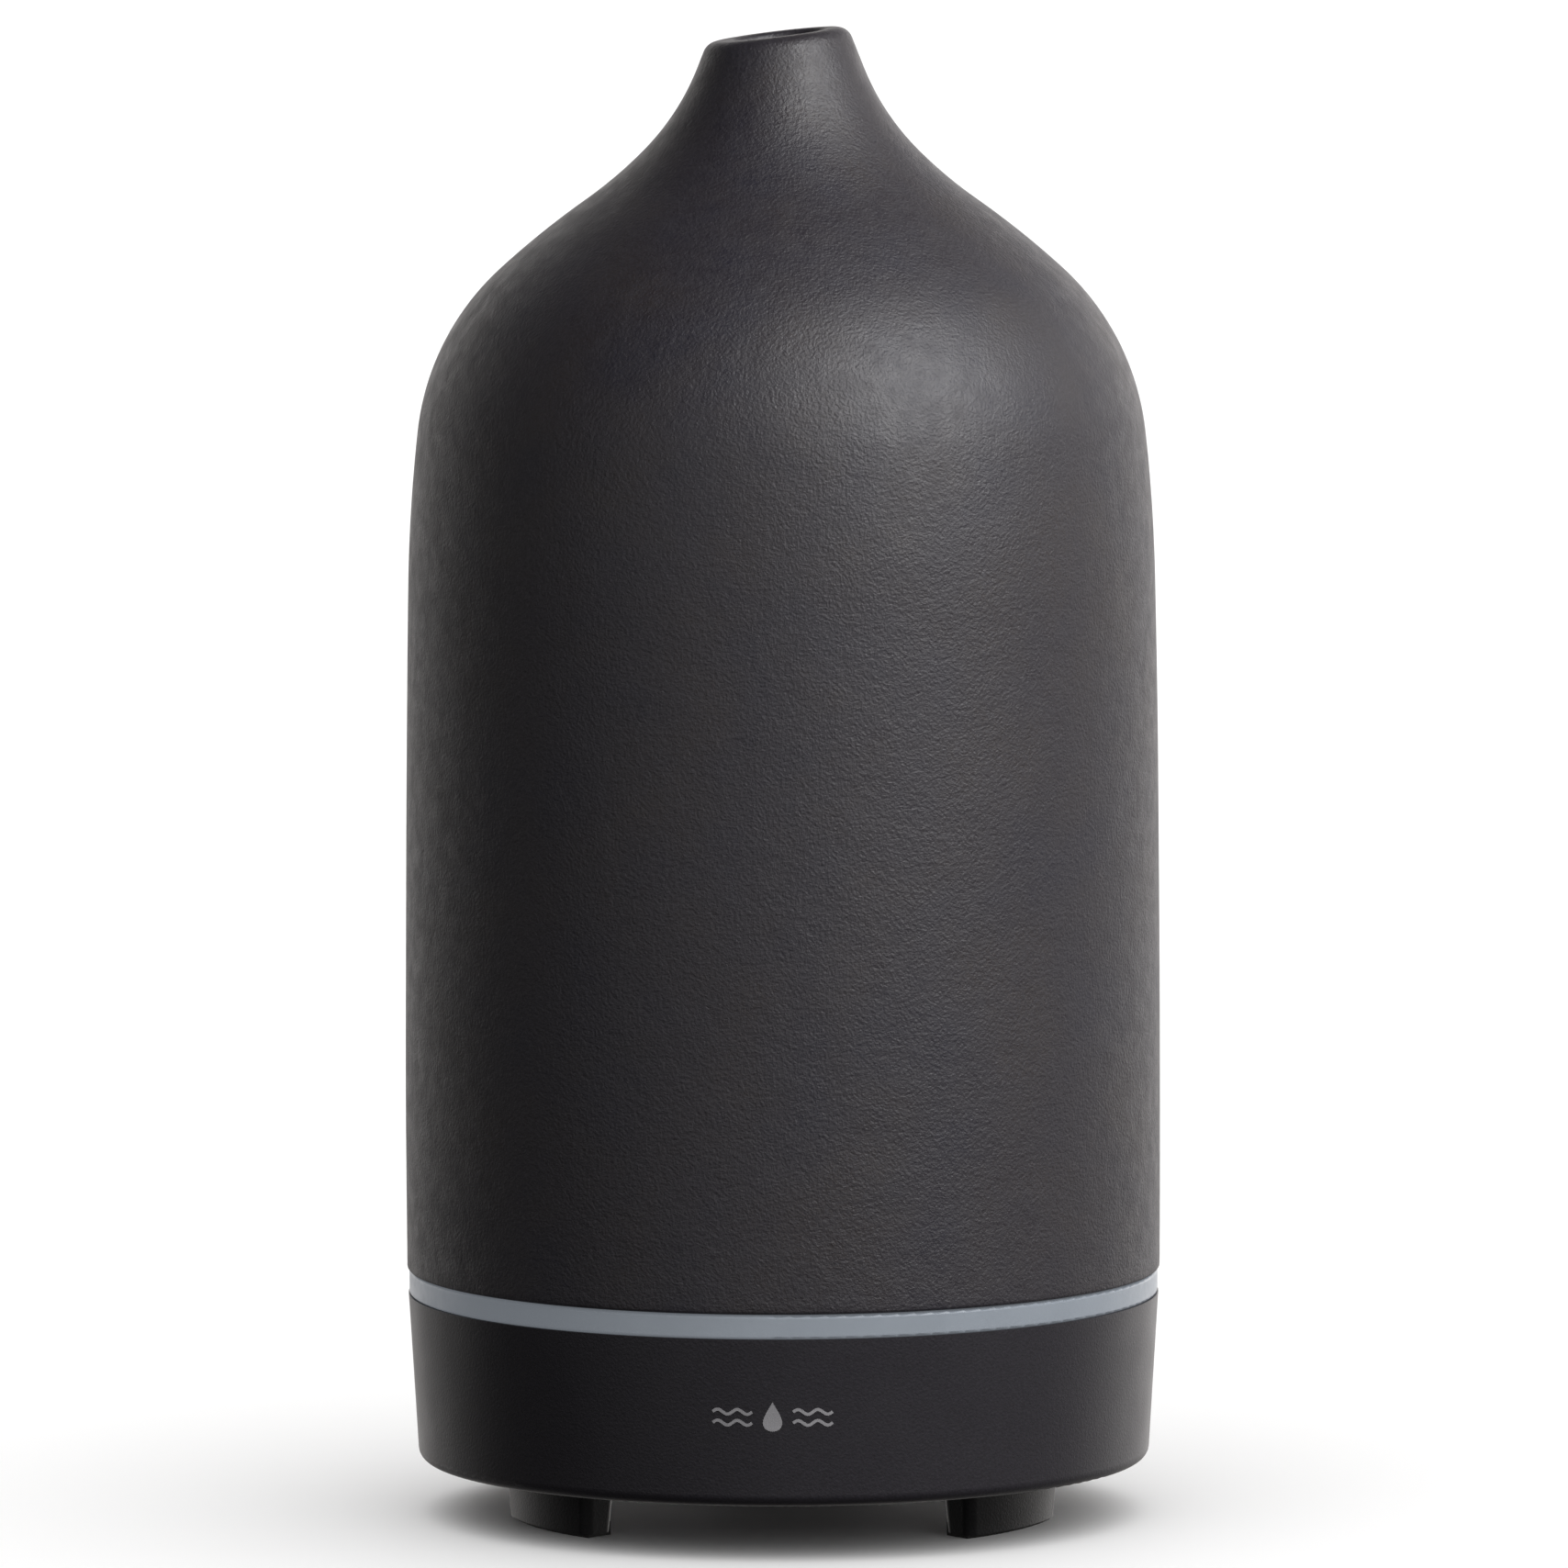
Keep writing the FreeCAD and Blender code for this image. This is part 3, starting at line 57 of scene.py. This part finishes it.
def map_range(tree, value, low, high, start=0.0, end=1.0):
    """Maps value from low..high to start..end, clamped."""
    node = tree.nodes.new("ShaderNodeMapRange")
    tree.links.new(value, node.inputs["Value"])
    for key, number in (("From Min", low), ("From Max", high), ("To Min", start), ("To Max", end)):
        node.inputs[key].default_value = number
    return node.outputs["Result"]


def mix_colours(tree, share, first, second):
    """Blends two colours, each a triple or a socket."""
    node = tree.nodes.new("ShaderNodeMix")
    node.data_type = "RGBA"
    tree.links.new(share, node.inputs["Factor"])
    for key, colour in (("A", first), ("B", second)):
        socket = next(s for s in node.inputs if s.name == key and s.type == "RGBA")
        if isinstance(colour, tuple):
            socket.default_value = (*colour, 1.0)
        else:
            tree.links.new(colour, socket)
    return next(s for s in node.outputs if s.type == "RGBA")


class Shader:
    """A Principled material that is built up node by node."""

    def __init__(self, name):
        self.material = bpy.data.materials.new(name)
        self.material.use_nodes = True
        self.tree = self.material.node_tree
        self.main = self.tree.nodes["Principled BSDF"]
        self.place = self.add("ShaderNodeTexCoord").outputs["Object"]

    def add(self, kind, **settings):
        node = self.tree.nodes.new(kind)
        for key, value in settings.items():
            setattr(node, key, value)
        return node

    def link(self, source, target):
        self.tree.links.new(source, target)

    def set(self, **values):
        """Sets the shader's own sockets. An underscore stands for a space in the socket's name."""
        for key, value in values.items():
            self.main.inputs[key.replace("_", " ")].default_value = value
        return self

    def noise(self, size, detail=2.0, rough=0.5, stretch=None):
        """Noise whose features are about size metres across. stretch scales the axes."""
        node = self.add("ShaderNodeTexNoise")
        node.inputs["Scale"].default_value = 1.0 / size
        node.inputs["Detail"].default_value = detail
        node.inputs["Roughness"].default_value = rough
        self.link(self.stretched(stretch), node.inputs["Vector"])
        return node.outputs["Fac"]

    def stretched(self, stretch):
        """Object coordinates, scaled by axis if stretch is given."""
        if stretch is None:
            return self.place
        mapping = self.add("ShaderNodeMapping")
        mapping.inputs["Scale"].default_value = stretch
        self.link(self.place, mapping.inputs["Vector"])
        return mapping.outputs["Vector"]

    def cells(self, size, feature="SMOOTH_F1"):
        """Rounded cells about size metres across: the distance from each cell's middle."""
        node = self.add("ShaderNodeTexVoronoi", feature=feature)
        node.inputs["Scale"].default_value = 1.0 / size
        self.link(self.place, node.inputs["Vector"])
        return node.outputs["Distance"]

    def spread(self, *values):
        return map_range(self.tree, *values)

    def mix(self, share, first, second):
        return mix_colours(self.tree, share, first, second)

    def colour(self, socket):
        self.link(socket, self.main.inputs["Base Color"])

    def roughness(self, socket):
        self.link(socket, self.main.inputs["Roughness"])

    def bump(self, height, depth, under=None):
        """Adds relief of about depth metres, on top of an earlier bump if one is given."""
        node = self.add("ShaderNodeBump")
        node.inputs["Strength"].default_value = 1.0
        node.inputs["Distance"].default_value = depth
        self.link(height, node.inputs["Height"])
        if under is not None:
            self.link(under, node.inputs["Normal"])
        self.link(node.outputs["Normal"], self.main.inputs["Normal"])
        return node.outputs["Normal"]


# ---------------------------------------------------------------- materials

GLAZE_COOL = (0.0142, 0.0126, 0.0196)
GLAZE_WARM = (0.0212, 0.0168, 0.0186)
GLAZE_SPECK = (0.0245, 0.0219, 0.0270)


def ceramic_material():
    """Near-black stoneware glaze with a fine leathery grain."""
    s = Shader("cover_ceramic")
    s.set(IOR=1.57)
    patches = s.noise(14 * MM, 4, 0.6)
    fine = s.noise(0.45 * MM, 2)
    tone = s.mix(s.spread(patches, 0.35, 0.65), GLAZE_COOL, GLAZE_WARM)
    s.colour(s.mix(s.spread(fine, 0.35, 0.75), tone, GLAZE_SPECK))
    s.roughness(s.spread(s.noise(2.2 * MM, 2), 0.3, 0.7, 0.46, 0.56))
    low = s.bump(s.noise(5 * MM, 2), 0.10 * MM)
    mid = s.bump(s.noise(1.0 * MM, 2), 0.05 * MM, low)
    s.bump(s.noise(0.38 * MM, 3, 0.6), 0.13 * MM, mid)
    return s.material


def base_material(name="base_plastic", tone=(0.0135, 0.0122, 0.0158), ior=1.5):
    """Moulded plastic with an even, very fine spark-eroded grain."""
    s = Shader(name)
    s.set(IOR=ior)
    fine = s.noise(0.35 * MM, 2)
    lighter = tuple(c * 1.5 for c in tone)
    s.colour(s.mix(s.spread(fine, 0.3, 0.7), tone, lighter))
    s.roughness(s.spread(s.noise(9 * MM, 3), 0.3, 0.7, 0.39, 0.45))
    s.bump(s.noise(0.30 * MM, 1.5), 0.035 * MM)
    return s.material


def light_ring_material():
    """Frosted translucent plastic with a faint bluish painted glow, standing in for light scattered
    through the unlit band.
    """
    s = Shader("light_plastic")
    s.set(IOR=1.49, Subsurface_Weight=0.35, Subsurface_Scale=1.5 * MM, Subsurface_Radius=(1.0, 1.0, 1.0))
    # Painted glow: the unlit band gets a weak bluish emission in place of light passing through it.
    s.set(Emission_Color=(0.81, 0.89, 1.0, 1), Emission_Strength=0.135)
    cloud = s.noise(7 * MM, 3)
    s.colour(s.mix(s.spread(cloud, 0.35, 0.65), (0.145, 0.163, 0.185), (0.16, 0.179, 0.203)))
    s.roughness(s.spread(s.noise(1.2 * MM, 2), 0.3, 0.7, 0.34, 0.44))
    s.bump(s.noise(0.5 * MM, 2), 0.012 * MM)
    return s.material


def moulded_material(name, tone, rough=0.4, grain=0.4, depth=0.015, vary=0.12):
    """Plain moulded plastic or rubber with slight mottling and grain."""
    s = Shader(name)
    s.set(IOR=1.48)
    deeper = tuple(c * (1 - vary) for c in tone)
    s.colour(s.mix(s.spread(s.noise(6 * MM, 4), 0.3, 0.7), tone, deeper))
    s.roughness(s.spread(s.noise(3 * MM, 3), 0.3, 0.7, rough - 0.05, rough + 0.05))
    s.bump(s.noise(grain * MM, 2), depth * MM)
    return s.material


def metal_material(name, tone, rough=0.3, stretch=None):
    s = Shader(name)
    s.set(Metallic=1.0)
    worn = tuple(c * 0.8 for c in tone)
    s.colour(s.mix(s.spread(s.noise(2 * MM, 4), 0.3, 0.7), tone, worn))
    s.roughness(s.spread(s.noise(0.6 * MM, 3, stretch=stretch), 0.3, 0.7, rough - 0.08, rough + 0.1))
    s.bump(s.noise(0.25 * MM, 2, stretch=stretch), 0.006 * MM)
    return s.material


def foam_material():
    s = Shader("filter_foam")
    pores = s.cells(0.7 * MM)
    # Painted shade: the pore hollows, which the bump sinks, are coloured darker than the foam around
    # them.
    s.colour(s.mix(s.spread(pores, 0.1, 0.6), (0.01, 0.01, 0.011), (0.09, 0.09, 0.095)))
    s.set(Roughness=0.95)
    s.bump(pores, 0.3 * MM)
    return s.material


TRACKS_PER_METRE = 260
TRACK_WANDER = 3.0


def board_material():
    """Green solder mask over faint copper tracks."""
    s = Shader("circuit_board")
    tracks = s.add("ShaderNodeTexWave", wave_type="BANDS", bands_direction="DIAGONAL")
    tracks.inputs["Scale"].default_value = TRACKS_PER_METRE
    tracks.inputs["Distortion"].default_value = TRACK_WANDER
    s.link(s.place, tracks.inputs["Vector"])
    edge = s.spread(tracks.outputs["Fac"], 0.55, 0.62)
    s.colour(s.mix(edge, (0.008, 0.075, 0.028), (0.018, 0.15, 0.055)))
    s.roughness(s.spread(s.noise(2 * MM), 0.3, 0.7, 0.25, 0.38))
    s.bump(edge, 0.03 * MM)
    return s.material


def make_materials():
    return {
        "cover_ceramic": ceramic_material(),
        "base_plastic": base_material(),
        # Feet: the base plastic again, in a far darker tone with less shine. This is painted shade for
        # the shade under the base.
        "foot_plastic": base_material("foot_plastic", (0.0045, 0.0045, 0.0055), 1.36),
        "light_plastic": light_ring_material(),
        "tank_plastic": moulded_material("tank_plastic", (0.44, 0.45, 0.46), 0.32, vary=0.03),
        "hood_plastic": moulded_material("hood_plastic", (0.47, 0.48, 0.49), 0.38, vary=0.03),
        "silicone": moulded_material("silicone", (0.36, 0.37, 0.38), 0.6, 0.3, 0.02),
        "rubber_pad": moulded_material("rubber_pad", (0.018, 0.018, 0.018), 0.8, 0.25, 0.05),
        "steel": metal_material("steel", (0.60, 0.60, 0.61), 0.3),
        "nickel": metal_material("nickel", (0.68, 0.66, 0.61), 0.25),
        "piezo_silver": metal_material("piezo_silver", (0.72, 0.71, 0.68), 0.38),
        "black_plastic": moulded_material("black_plastic", (0.02, 0.02, 0.022), 0.42, 0.3, 0.02),
        "bronze": metal_material("bronze", (0.55, 0.36, 0.17), 0.45),
        "copper_wire": metal_material("copper_wire", (0.72, 0.32, 0.14), 0.3, (1, 1, 8)),
        "ferrite": moulded_material("ferrite", (0.06, 0.06, 0.065), 0.6, 0.5, 0.04),
        "magnet": moulded_material("magnet", (0.05, 0.05, 0.055), 0.5),
        "circuit_board": board_material(),
        "aluminium": metal_material("aluminium", (0.70, 0.71, 0.72), 0.34, (1, 1, 0.1)),
        "can_sleeve": moulded_material("can_sleeve", (0.015, 0.025, 0.07), 0.25),
        "connector_plastic": moulded_material("connector_plastic", (0.72, 0.69, 0.58), 0.4),
        "lamp_resin": moulded_material("lamp_resin", (0.82, 0.78, 0.52), 0.35),
        "filter_foam": foam_material(),
        "wire_cover": moulded_material("wire_cover", (0.38, 0.025, 0.02), 0.4),
    }


def dress_nodes(materials):
    """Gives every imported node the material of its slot."""
    for part in frame["record"]["subparts"]:
        node = NODES[part["node"]]
        node.data.materials.clear()
        node.data.materials.append(materials[part["material_slot"]])


# ---------------------------------------------------------------- ceramic cover

COVER_FOOT_RADIUS = 44.76 * MM
COVER_WALL = 3.6 * MM
FOOT_SLOPE = math.radians(-0.3)
COVER_ARCS = (  # radius, slope of the surface normal at the arc's end, side it bulges to
    (3600 * MM, math.radians(1), 1),
    (191 * MM, math.radians(6.4), 1),
    (30.7 * MM, math.radians(47.5), 1),
    (103.9 * MM, math.radians(54.7), 1),
    (51.6 * MM, math.radians(44.4), -1),
    (29.1 * MM, math.radians(21.4), -1),
)
MOUTH_HEIGHT = 176 * MM
MOUTH_TILT = math.radians(6.8)
MOUTH_RADIUS = 5.1 * MM
LIP_OUTER = 1.9 * MM
LIP_INNER = 0.8 * MM
FOOT_EDGE = 0.4 * MM
HAND_WAVER = 0.012 * MM
OUTWARD, UPWARD = np.array([1.0, 0.0]), np.array([0.0, 1.0])
TURNS = 288


def chain_points(step):
    """Points (r, z, slope) along the cover's outer arcs, about step apart."""
    r, z, slope = COVER_FOOT_RADIUS, COVER_BOTTOM, FOOT_SLOPE
    points = []
    for radius, after, side in COVER_ARCS:
        across = radius * side
        count = max(2, round(radius * abs(after - slope) / step))
        for number in range(count):
            angle = slope + (after - slope) * number / count
            points.append((r + across * (math.cos(angle) - math.cos(slope)),
                           z + across * (math.sin(angle) - math.sin(slope)), angle))
        r += across * (math.cos(after) - math.cos(slope))
        z += across * (math.sin(after) - math.sin(slope))
        slope = after
    points.append((r, z, slope))
    return points


def cover_profiles():
    """The outer and inner surfaces as (r, z) curves from the foot up past the mouth."""
    chain = chain_points(1.05 * MM)
    outer = [(r, z) for r, z, slope in chain]
    inner = [(r - COVER_WALL * math.cos(a), z - COVER_WALL * math.sin(a)) for r, z, a in chain]
    r, z, slope = chain[-1]
    top = MOUTH_HEIGHT + 3 * MM
    outer.append((r - (top - z) * math.tan(slope), top))
    r, z = inner[-1]
    bend = z + (r - MOUTH_RADIUS) / math.tan(slope)
    inner += [(MOUTH_RADIUS, bend), (MOUTH_RADIUS, top)]
    return np.array(outer), np.array(inner)


def rounded(corner, before, after, radius, count):
    """Points of the arc that rounds a corner between two directions."""
    before, after = before / np.linalg.norm(before), after / np.linalg.norm(after)
    half = math.acos(np.clip(before @ after, -1, 1)) / 2
    reach = radius / math.tan(half)
    bisector = (before + after) / np.linalg.norm(before + after)
    centre = corner + bisector * radius / math.sin(half)
    start, end = corner + before * reach - centre, corner + after * reach - centre
    first = math.atan2(start[1], start[0])
    sweep = (math.atan2(end[1], end[0]) - first + math.pi) % (2 * math.pi) - math.pi
    angles = first + sweep * np.linspace(0, 1, count)
    return centre + radius * np.stack([np.cos(angles), np.sin(angles)], axis=1)


def cover_section(turn, outer, inner):
    """One closed (r, z) section of the cover, cut at the slanted mouth for this turn angle."""
    slope = math.tan(MOUTH_TILT) * math.cos(turn)

    def cut(curve):
        rise = curve[:, 1] - MOUTH_HEIGHT - curve[:, 0] * slope
        last = int(np.argmax(rise > 0))
        share = -rise[last - 1] / (rise[last] - rise[last - 1])
        return curve[last - 1] + (curve[last] - curve[last - 1]) * share

    lip_out, lip_in = cut(outer), cut(inner)
    across = lip_in - lip_out
    out_dir = outer[-2] - outer[-1]
    arc_out = rounded(lip_out, out_dir, across, LIP_OUTER, 9)
    arc_in = rounded(lip_in, -across, -UPWARD, LIP_INNER, 7)
    foot = COVER_BOTTOM
    clear = foot + 1.2 * FOOT_EDGE
    out_foot = rounded(np.array([outer[0, 0], foot]), -OUTWARD, UPWARD, FOOT_EDGE, 5)
    in_foot = rounded(np.array([inner[0, 0], foot]), UPWARD, OUTWARD, FOOT_EDGE, 5)
    fixed = outer[(outer[:, 1] > clear) & (outer[:, 1] < outer[-2, 1] + 0.01 * MM)]
    climb = np.linspace(0, 1, 6)[1:-1, None]
    up = fixed[-1] * (1 - climb) + arc_out[0] * climb
    bend = inner[-2]
    body = inner[:-2]
    body = body[body[:, 1] > clear][::-2]
    down = arc_in[-1] * (1 - climb) + bend * climb
    flat = arc_out[-1] * 0.5 + arc_in[0] * 0.5
    outside = [out_foot, fixed, up, arc_out, flat[None]]
    inside = [arc_in, down, bend[None], body, in_foot]
    return np.concatenate(outside + inside)


def build_cover(material):
    """The cover as one closed skin of turned sections, a hair out of true as glazed stoneware is."""
    outer, inner = cover_profiles()
    rings = [cover_section(2 * math.pi * n / TURNS, outer, inner) for n in range(TURNS)]
    sections = np.array(rings)
    count = sections.shape[1]
    turns = 2 * math.pi * np.arange(TURNS) / TURNS
    r, z = sections[:, :, 0], sections[:, :, 1]
    wave = (np.sin(3 * turns[:, None] + z * 90) + np.sin(2 * turns[:, None] - z * 130 + 1.7)
            + 0.6 * np.sin(5 * turns[:, None] + z * 210 + 0.4))
    r = r + wave * HAND_WAVER
    points = np.stack([r * np.cos(turns[:, None]), r * np.sin(turns[:, None]), z], axis=2)
    faces = []
    for a in range(TURNS):
        b = (a + 1) % TURNS
        for k in range(count):
            m = (k + 1) % count
            faces.append((a * count + k, b * count + k, b * count + m, a * count + m))
    mesh = bpy.data.meshes.new("ceramic_cover_glazed")
    mesh.from_pydata(points.reshape(-1, 3).tolist(), [], faces)
    mesh.shade_smooth()
    mesh.materials.append(material)
    cover = bpy.data.objects.new("ceramic_cover_glazed", mesh)
    bpy.context.scene.collection.objects.link(cover)
    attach(cover, "cover")
    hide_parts("ceramic_cover")
    return cover


# ---------------------------------------------------------------- printed marks

INK_PROUD = 0.04 * MM
INK_SUNK = 0.06 * MM
OUTSIDE = 60 * MM
FRONT = math.radians(-90)
FRONT_PRINT_HEIGHT = 17.3 * MM
WAVE_LENGTH = 4.6 * MM
WAVE_SWING = 0.28 * MM
WAVE_THICK = 0.36 * MM
WAVE_STARTS = (-7.0 * MM, 2.4 * MM)
WAVE_HEIGHTS = (-0.75 * MM, 0.55 * MM)


def drop_strip(width, height, count=22):
    """A falling drop as (left, right) pairs of points from its foot to its tip.

    The factor 0.64 makes its widest place width across.
    """
    pairs = []
    for index in range(count + 1):
        angle = math.pi * (1 - (index + 0.5) / (count + 1))
        half = 0.64 * width * math.sin(angle) * math.sin(angle / 2) ** 1.5
        up = 0.5 * height * math.cos(angle)
        pairs.append(((-half, up), (half, up)))
    return pairs


def disc_strip(radius, count=18):
    """A disc as (left, right) pairs of points from its foot to its top."""
    pairs = []
    for index in range(count + 1):
        angle = math.pi * (1 - (index + 0.5) / (count + 1))
        half, up = radius * math.sin(angle), radius * math.cos(angle)
        pairs.append(((-half, up), (half, up)))
    return pairs


def wave_strip(start, length, height, swing, thick, waves=2, count=40):
    """A wavy line from start to the right, swing either side of height."""
    pairs = []
    for index in range(count + 1):
        phase = 2 * math.pi * waves * index / count
        slope = swing * math.cos(phase) * 2 * math.pi * waves / length
        middle = Vector((start + length * index / count, height + swing * math.sin(phase)))
        aside = Vector((-slope, 1)).normalized() * thick / 2
        pairs.append((tuple(middle + aside), tuple(middle - aside)))
    return pairs


def ray_strip(angle, inner, outer, thick):
    """A straight bar that points away from the middle."""
    way = Vector((math.cos(angle), math.sin(angle)))
    aside = Vector((-way.y, way.x)) * thick / 2
    return [(tuple(way * size + aside), tuple(way * size - aside)) for size in (inner, outer)]


def printed(name, strips, node, turn, height, body, material):
    """A raised film of ink on the surface of a CAD node, seen from the direction turn about Z."""
    support = NODES[node]
    to_node = support.matrix_world.inverted()
    out = Vector((math.cos(turn), math.sin(turn), 0))
    across = Vector((-math.sin(turn), math.cos(turn), 0))
    points, faces = [], []
    for strip in strips:
        first = len(points)
        for pair in strip:
            for right, up in pair:
                start = out * OUTSIDE + across * right + Vector((0, 0, height + up))
                place = support.ray_cast(to_node @ start, to_node.to_3x3() @ -out)[1]
                place = support.matrix_world @ place
                points += [place + out * INK_PROUD, place - out * INK_SUNK]
        for row in range(first, len(points) - 4, 4):
            left, left_low, right, right_low = range(row, row + 4)
            faces += [(left, right, right + 4, left + 4),
                      (left_low, left_low + 4, right_low + 4, right_low),
                      (left, left + 4, left_low + 4, left_low),
                      (right, right_low, right_low + 4, right + 4)]
        last = len(points) - 4
        faces += [(first, first + 1, first + 3, first + 2), (last, last + 2, last + 3, last + 1)]
    mesh = bpy.data.meshes.new(name)
    mesh.from_pydata(points, [], faces)
    mesh.materials.append(material)
    piece = bpy.data.objects.new(name, mesh)
    bpy.context.scene.collection.objects.link(piece)
    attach(piece, body)
    return piece


def print_marks(material):
    """A drop between wavy lines on the front, and a symbol on each button. Returns the pieces."""
    waves = [wave_strip(start, WAVE_LENGTH, height, WAVE_SWING, WAVE_THICK)
             for start in WAVE_STARTS for height in WAVE_HEIGHTS]
    front = waves + [drop_strip(2.5 * MM, 3.5 * MM)]
    marks = [printed("front_print", front, "base_shell", FRONT, FRONT_PRINT_HEIGHT, "base", material)]
    sun = [disc_strip(0.75 * MM)] + [ray_strip(math.radians(45 * n), 1.15 * MM, 1.75 * MM, 0.3 * MM)
                                     for n in range(8)]
    for control, strips in (("mist", [drop_strip(2.0 * MM, 2.9 * MM)]), ("light", sun)):
        low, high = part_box(f"{control}_button")
        middle = (Vector(low) + Vector(high)) / 2
        turn = math.atan2(middle.y, middle.x)
        marks.append(printed(f"{control}_icon", strips, f"{control}_button", turn, middle.z,
                             f"{control}_push", material))
    return marks


# ---------------------------------------------------------------- stage

FLOOR_HALF = 9.0


def build_floor():
    """A pale floor that the object itself doesn't mirror, so its dark glaze stays dark."""
    s = Shader("studio_floor")
    s.set(Base_Color=(0.9, 0.9, 0.9, 1), Roughness=0.7, Specular_IOR_Level=0.1)
    mesh = bpy.data.meshes.new("studio_floor")
    half = FLOOR_HALF
    mesh.from_pydata([(-half, -half, 0), (half, -half, 0), (half, half, 0), (-half, half, 0)], [],
                     [(0, 1, 2, 3)])
    mesh.materials.append(s.material)
    floor = bpy.data.objects.new("studio_floor", mesh)
    floor.visible_glossy = False
    floor.visible_diffuse = False
    bpy.context.scene.collection.objects.link(floor)
    return floor


def lamp(name, kind, place, target, energy):
    """A light that faces target and isn't seen itself."""
    light = bpy.data.lights.new(name, kind)
    light.energy = energy
    holder = bpy.data.objects.new(name, light)
    holder.location = place
    holder.rotation_euler = (Vector(target) - Vector(place)).to_track_quat("-Z", "Y").to_euler()
    holder.visible_camera = False
    bpy.context.scene.collection.objects.link(holder)
    return holder


def light_only(holder, name, things):
    """Lets a light fall on those things alone."""
    receivers = bpy.data.collections.new(name)
    for thing in things:
        receivers.objects.link(thing)
    holder.light_linking.receiver_collection = receivers


LIGHT_AIM = Vector((0, 0, 0.1))
WASH_FROM = (0.5, -0.9, 3)
WASH_STRENGTH = 3.8
WASH_SPREAD = math.radians(120)


def softbox(name, azimuth, elevation, distance, width, height, energy, receivers):
    """A rectangular light aimed at the object. Azimuth 0 is behind the camera, 90 is its right."""
    az, el = math.radians(azimuth), math.radians(elevation)
    way = Vector((math.sin(az) * math.cos(el), -math.cos(az) * math.cos(el), math.sin(el)))
    holder = lamp(name, "AREA", LIGHT_AIM + way * distance, LIGHT_AIM, energy)
    holder.data.shape = "RECTANGLE"
    holder.data.size, holder.data.size_y = width, height
    light_only(holder, f"{name}_receivers", receivers)


def floor_wash(floor):
    """Soft light from above for the floor alone, leaning a little to the front and the right."""
    holder = lamp("floor_wash", "SUN", WASH_FROM, (0, 0, 0), WASH_STRENGTH)
    holder.data.angle = WASH_SPREAD
    light_only(holder, "floor_wash_receivers", [floor])


ROOM_TINT = (1.0, 0.968, 0.95)
BACKDROP_TINT = (1.0, 1.0, 1.0)


def build_world():
    """A white backdrop for the camera, and around the object a room that is brighter on its right."""
    world = bpy.data.worlds.new("studio")
    world.use_nodes = True
    tree = world.node_tree
    back = tree.nodes["Background"]
    where = tree.nodes.new("ShaderNodeTexCoord")
    split = tree.nodes.new("ShaderNodeSeparateXYZ")
    tree.links.new(where.outputs["Generated"], split.inputs["Vector"])

    def ramp(axis, *values):
        return map_range(tree, split.outputs[axis], *values)

    def combine(operation, first, second):
        node = tree.nodes.new("ShaderNodeMath")
        node.operation = operation
        tree.links.new(first, node.inputs[0])
        tree.links.new(second, node.inputs[1])
        return node.outputs[0]

    sideways = ramp("X", -0.85, 0.95, 0.08, 0.44)
    behind = ramp("Y", 0.25, 1.0, 0.0, 1.0)
    right = ramp("X", -1.0, 1.0, 1.15, 2.45)
    below = ramp("Z", -0.45, 0.05, 0.2, 1.0)
    above = ramp("Z", 0.2, 0.6, 1.0, 0.0)
    around = combine("ADD", sideways, combine("MULTIPLY", behind, right))
    room = combine("MULTIPLY", around, combine("MULTIPLY", below, above))
    seen = tree.nodes.new("ShaderNodeLightPath").outputs["Is Camera Ray"]
    tree.links.new(combine("MAXIMUM", room, seen), back.inputs["Strength"])
    tree.links.new(mix_colours(tree, seen, ROOM_TINT, BACKDROP_TINT), back.inputs["Color"])
    bpy.context.scene.world = world


CAMERA_TURN = math.radians(1.7)
CAMERA_ROLL = math.radians(-0.13)
CAMERA_DISTANCE = 2.0
CAMERA_HEIGHT = 0.291
CAMERA_AIM = Vector((0.0002, 0, 0.0869))
LENS_MM = 389
SENSOR_MM = 36
VIEW_DEPTH = 60


def build_camera():
    """A long lens 2 m away, a little above the object and to the right of its front."""
    data = bpy.data.cameras.new("camera")
    data.lens = LENS_MM
    data.sensor_width = SENSOR_MM
    data.clip_end = VIEW_DEPTH
    camera = bpy.data.objects.new("camera", data)
    across, away = CAMERA_DISTANCE * math.sin(CAMERA_TURN), CAMERA_DISTANCE * math.cos(CAMERA_TURN)
    camera.location = (across, -away, CAMERA_HEIGHT)
    camera.rotation_euler = (CAMERA_AIM - camera.location).to_track_quat("-Z", "Y").to_euler()
    camera.rotation_euler.rotate_axis("Z", CAMERA_ROLL)
    bpy.context.scene.collection.objects.link(camera)
    bpy.context.scene.camera = camera


def build_stage(lit):
    """Floor, lights and camera. The softboxes light only the pieces in lit."""
    floor = build_floor()
    floor_wash(floor)
    build_world()
    softbox("key", azimuth=51, elevation=38, distance=0.53, width=0.4, height=0.4, energy=4.7,
            receivers=lit)
    softbox("front_fill", azimuth=-24, elevation=6, distance=0.5, width=0.75, height=0.3, energy=0.37,
            receivers=lit)
    build_camera()
    bpy.context.scene.view_settings.view_transform = "Standard"


materials = make_materials()
dress_nodes(materials)
cover = build_cover(materials["cover_ceramic"])
marks = print_marks(moulded_material("print_ink", (0.30, 0.295, 0.31), 0.5))
build_stage(list(NODES.values()) + [cover] + marks)
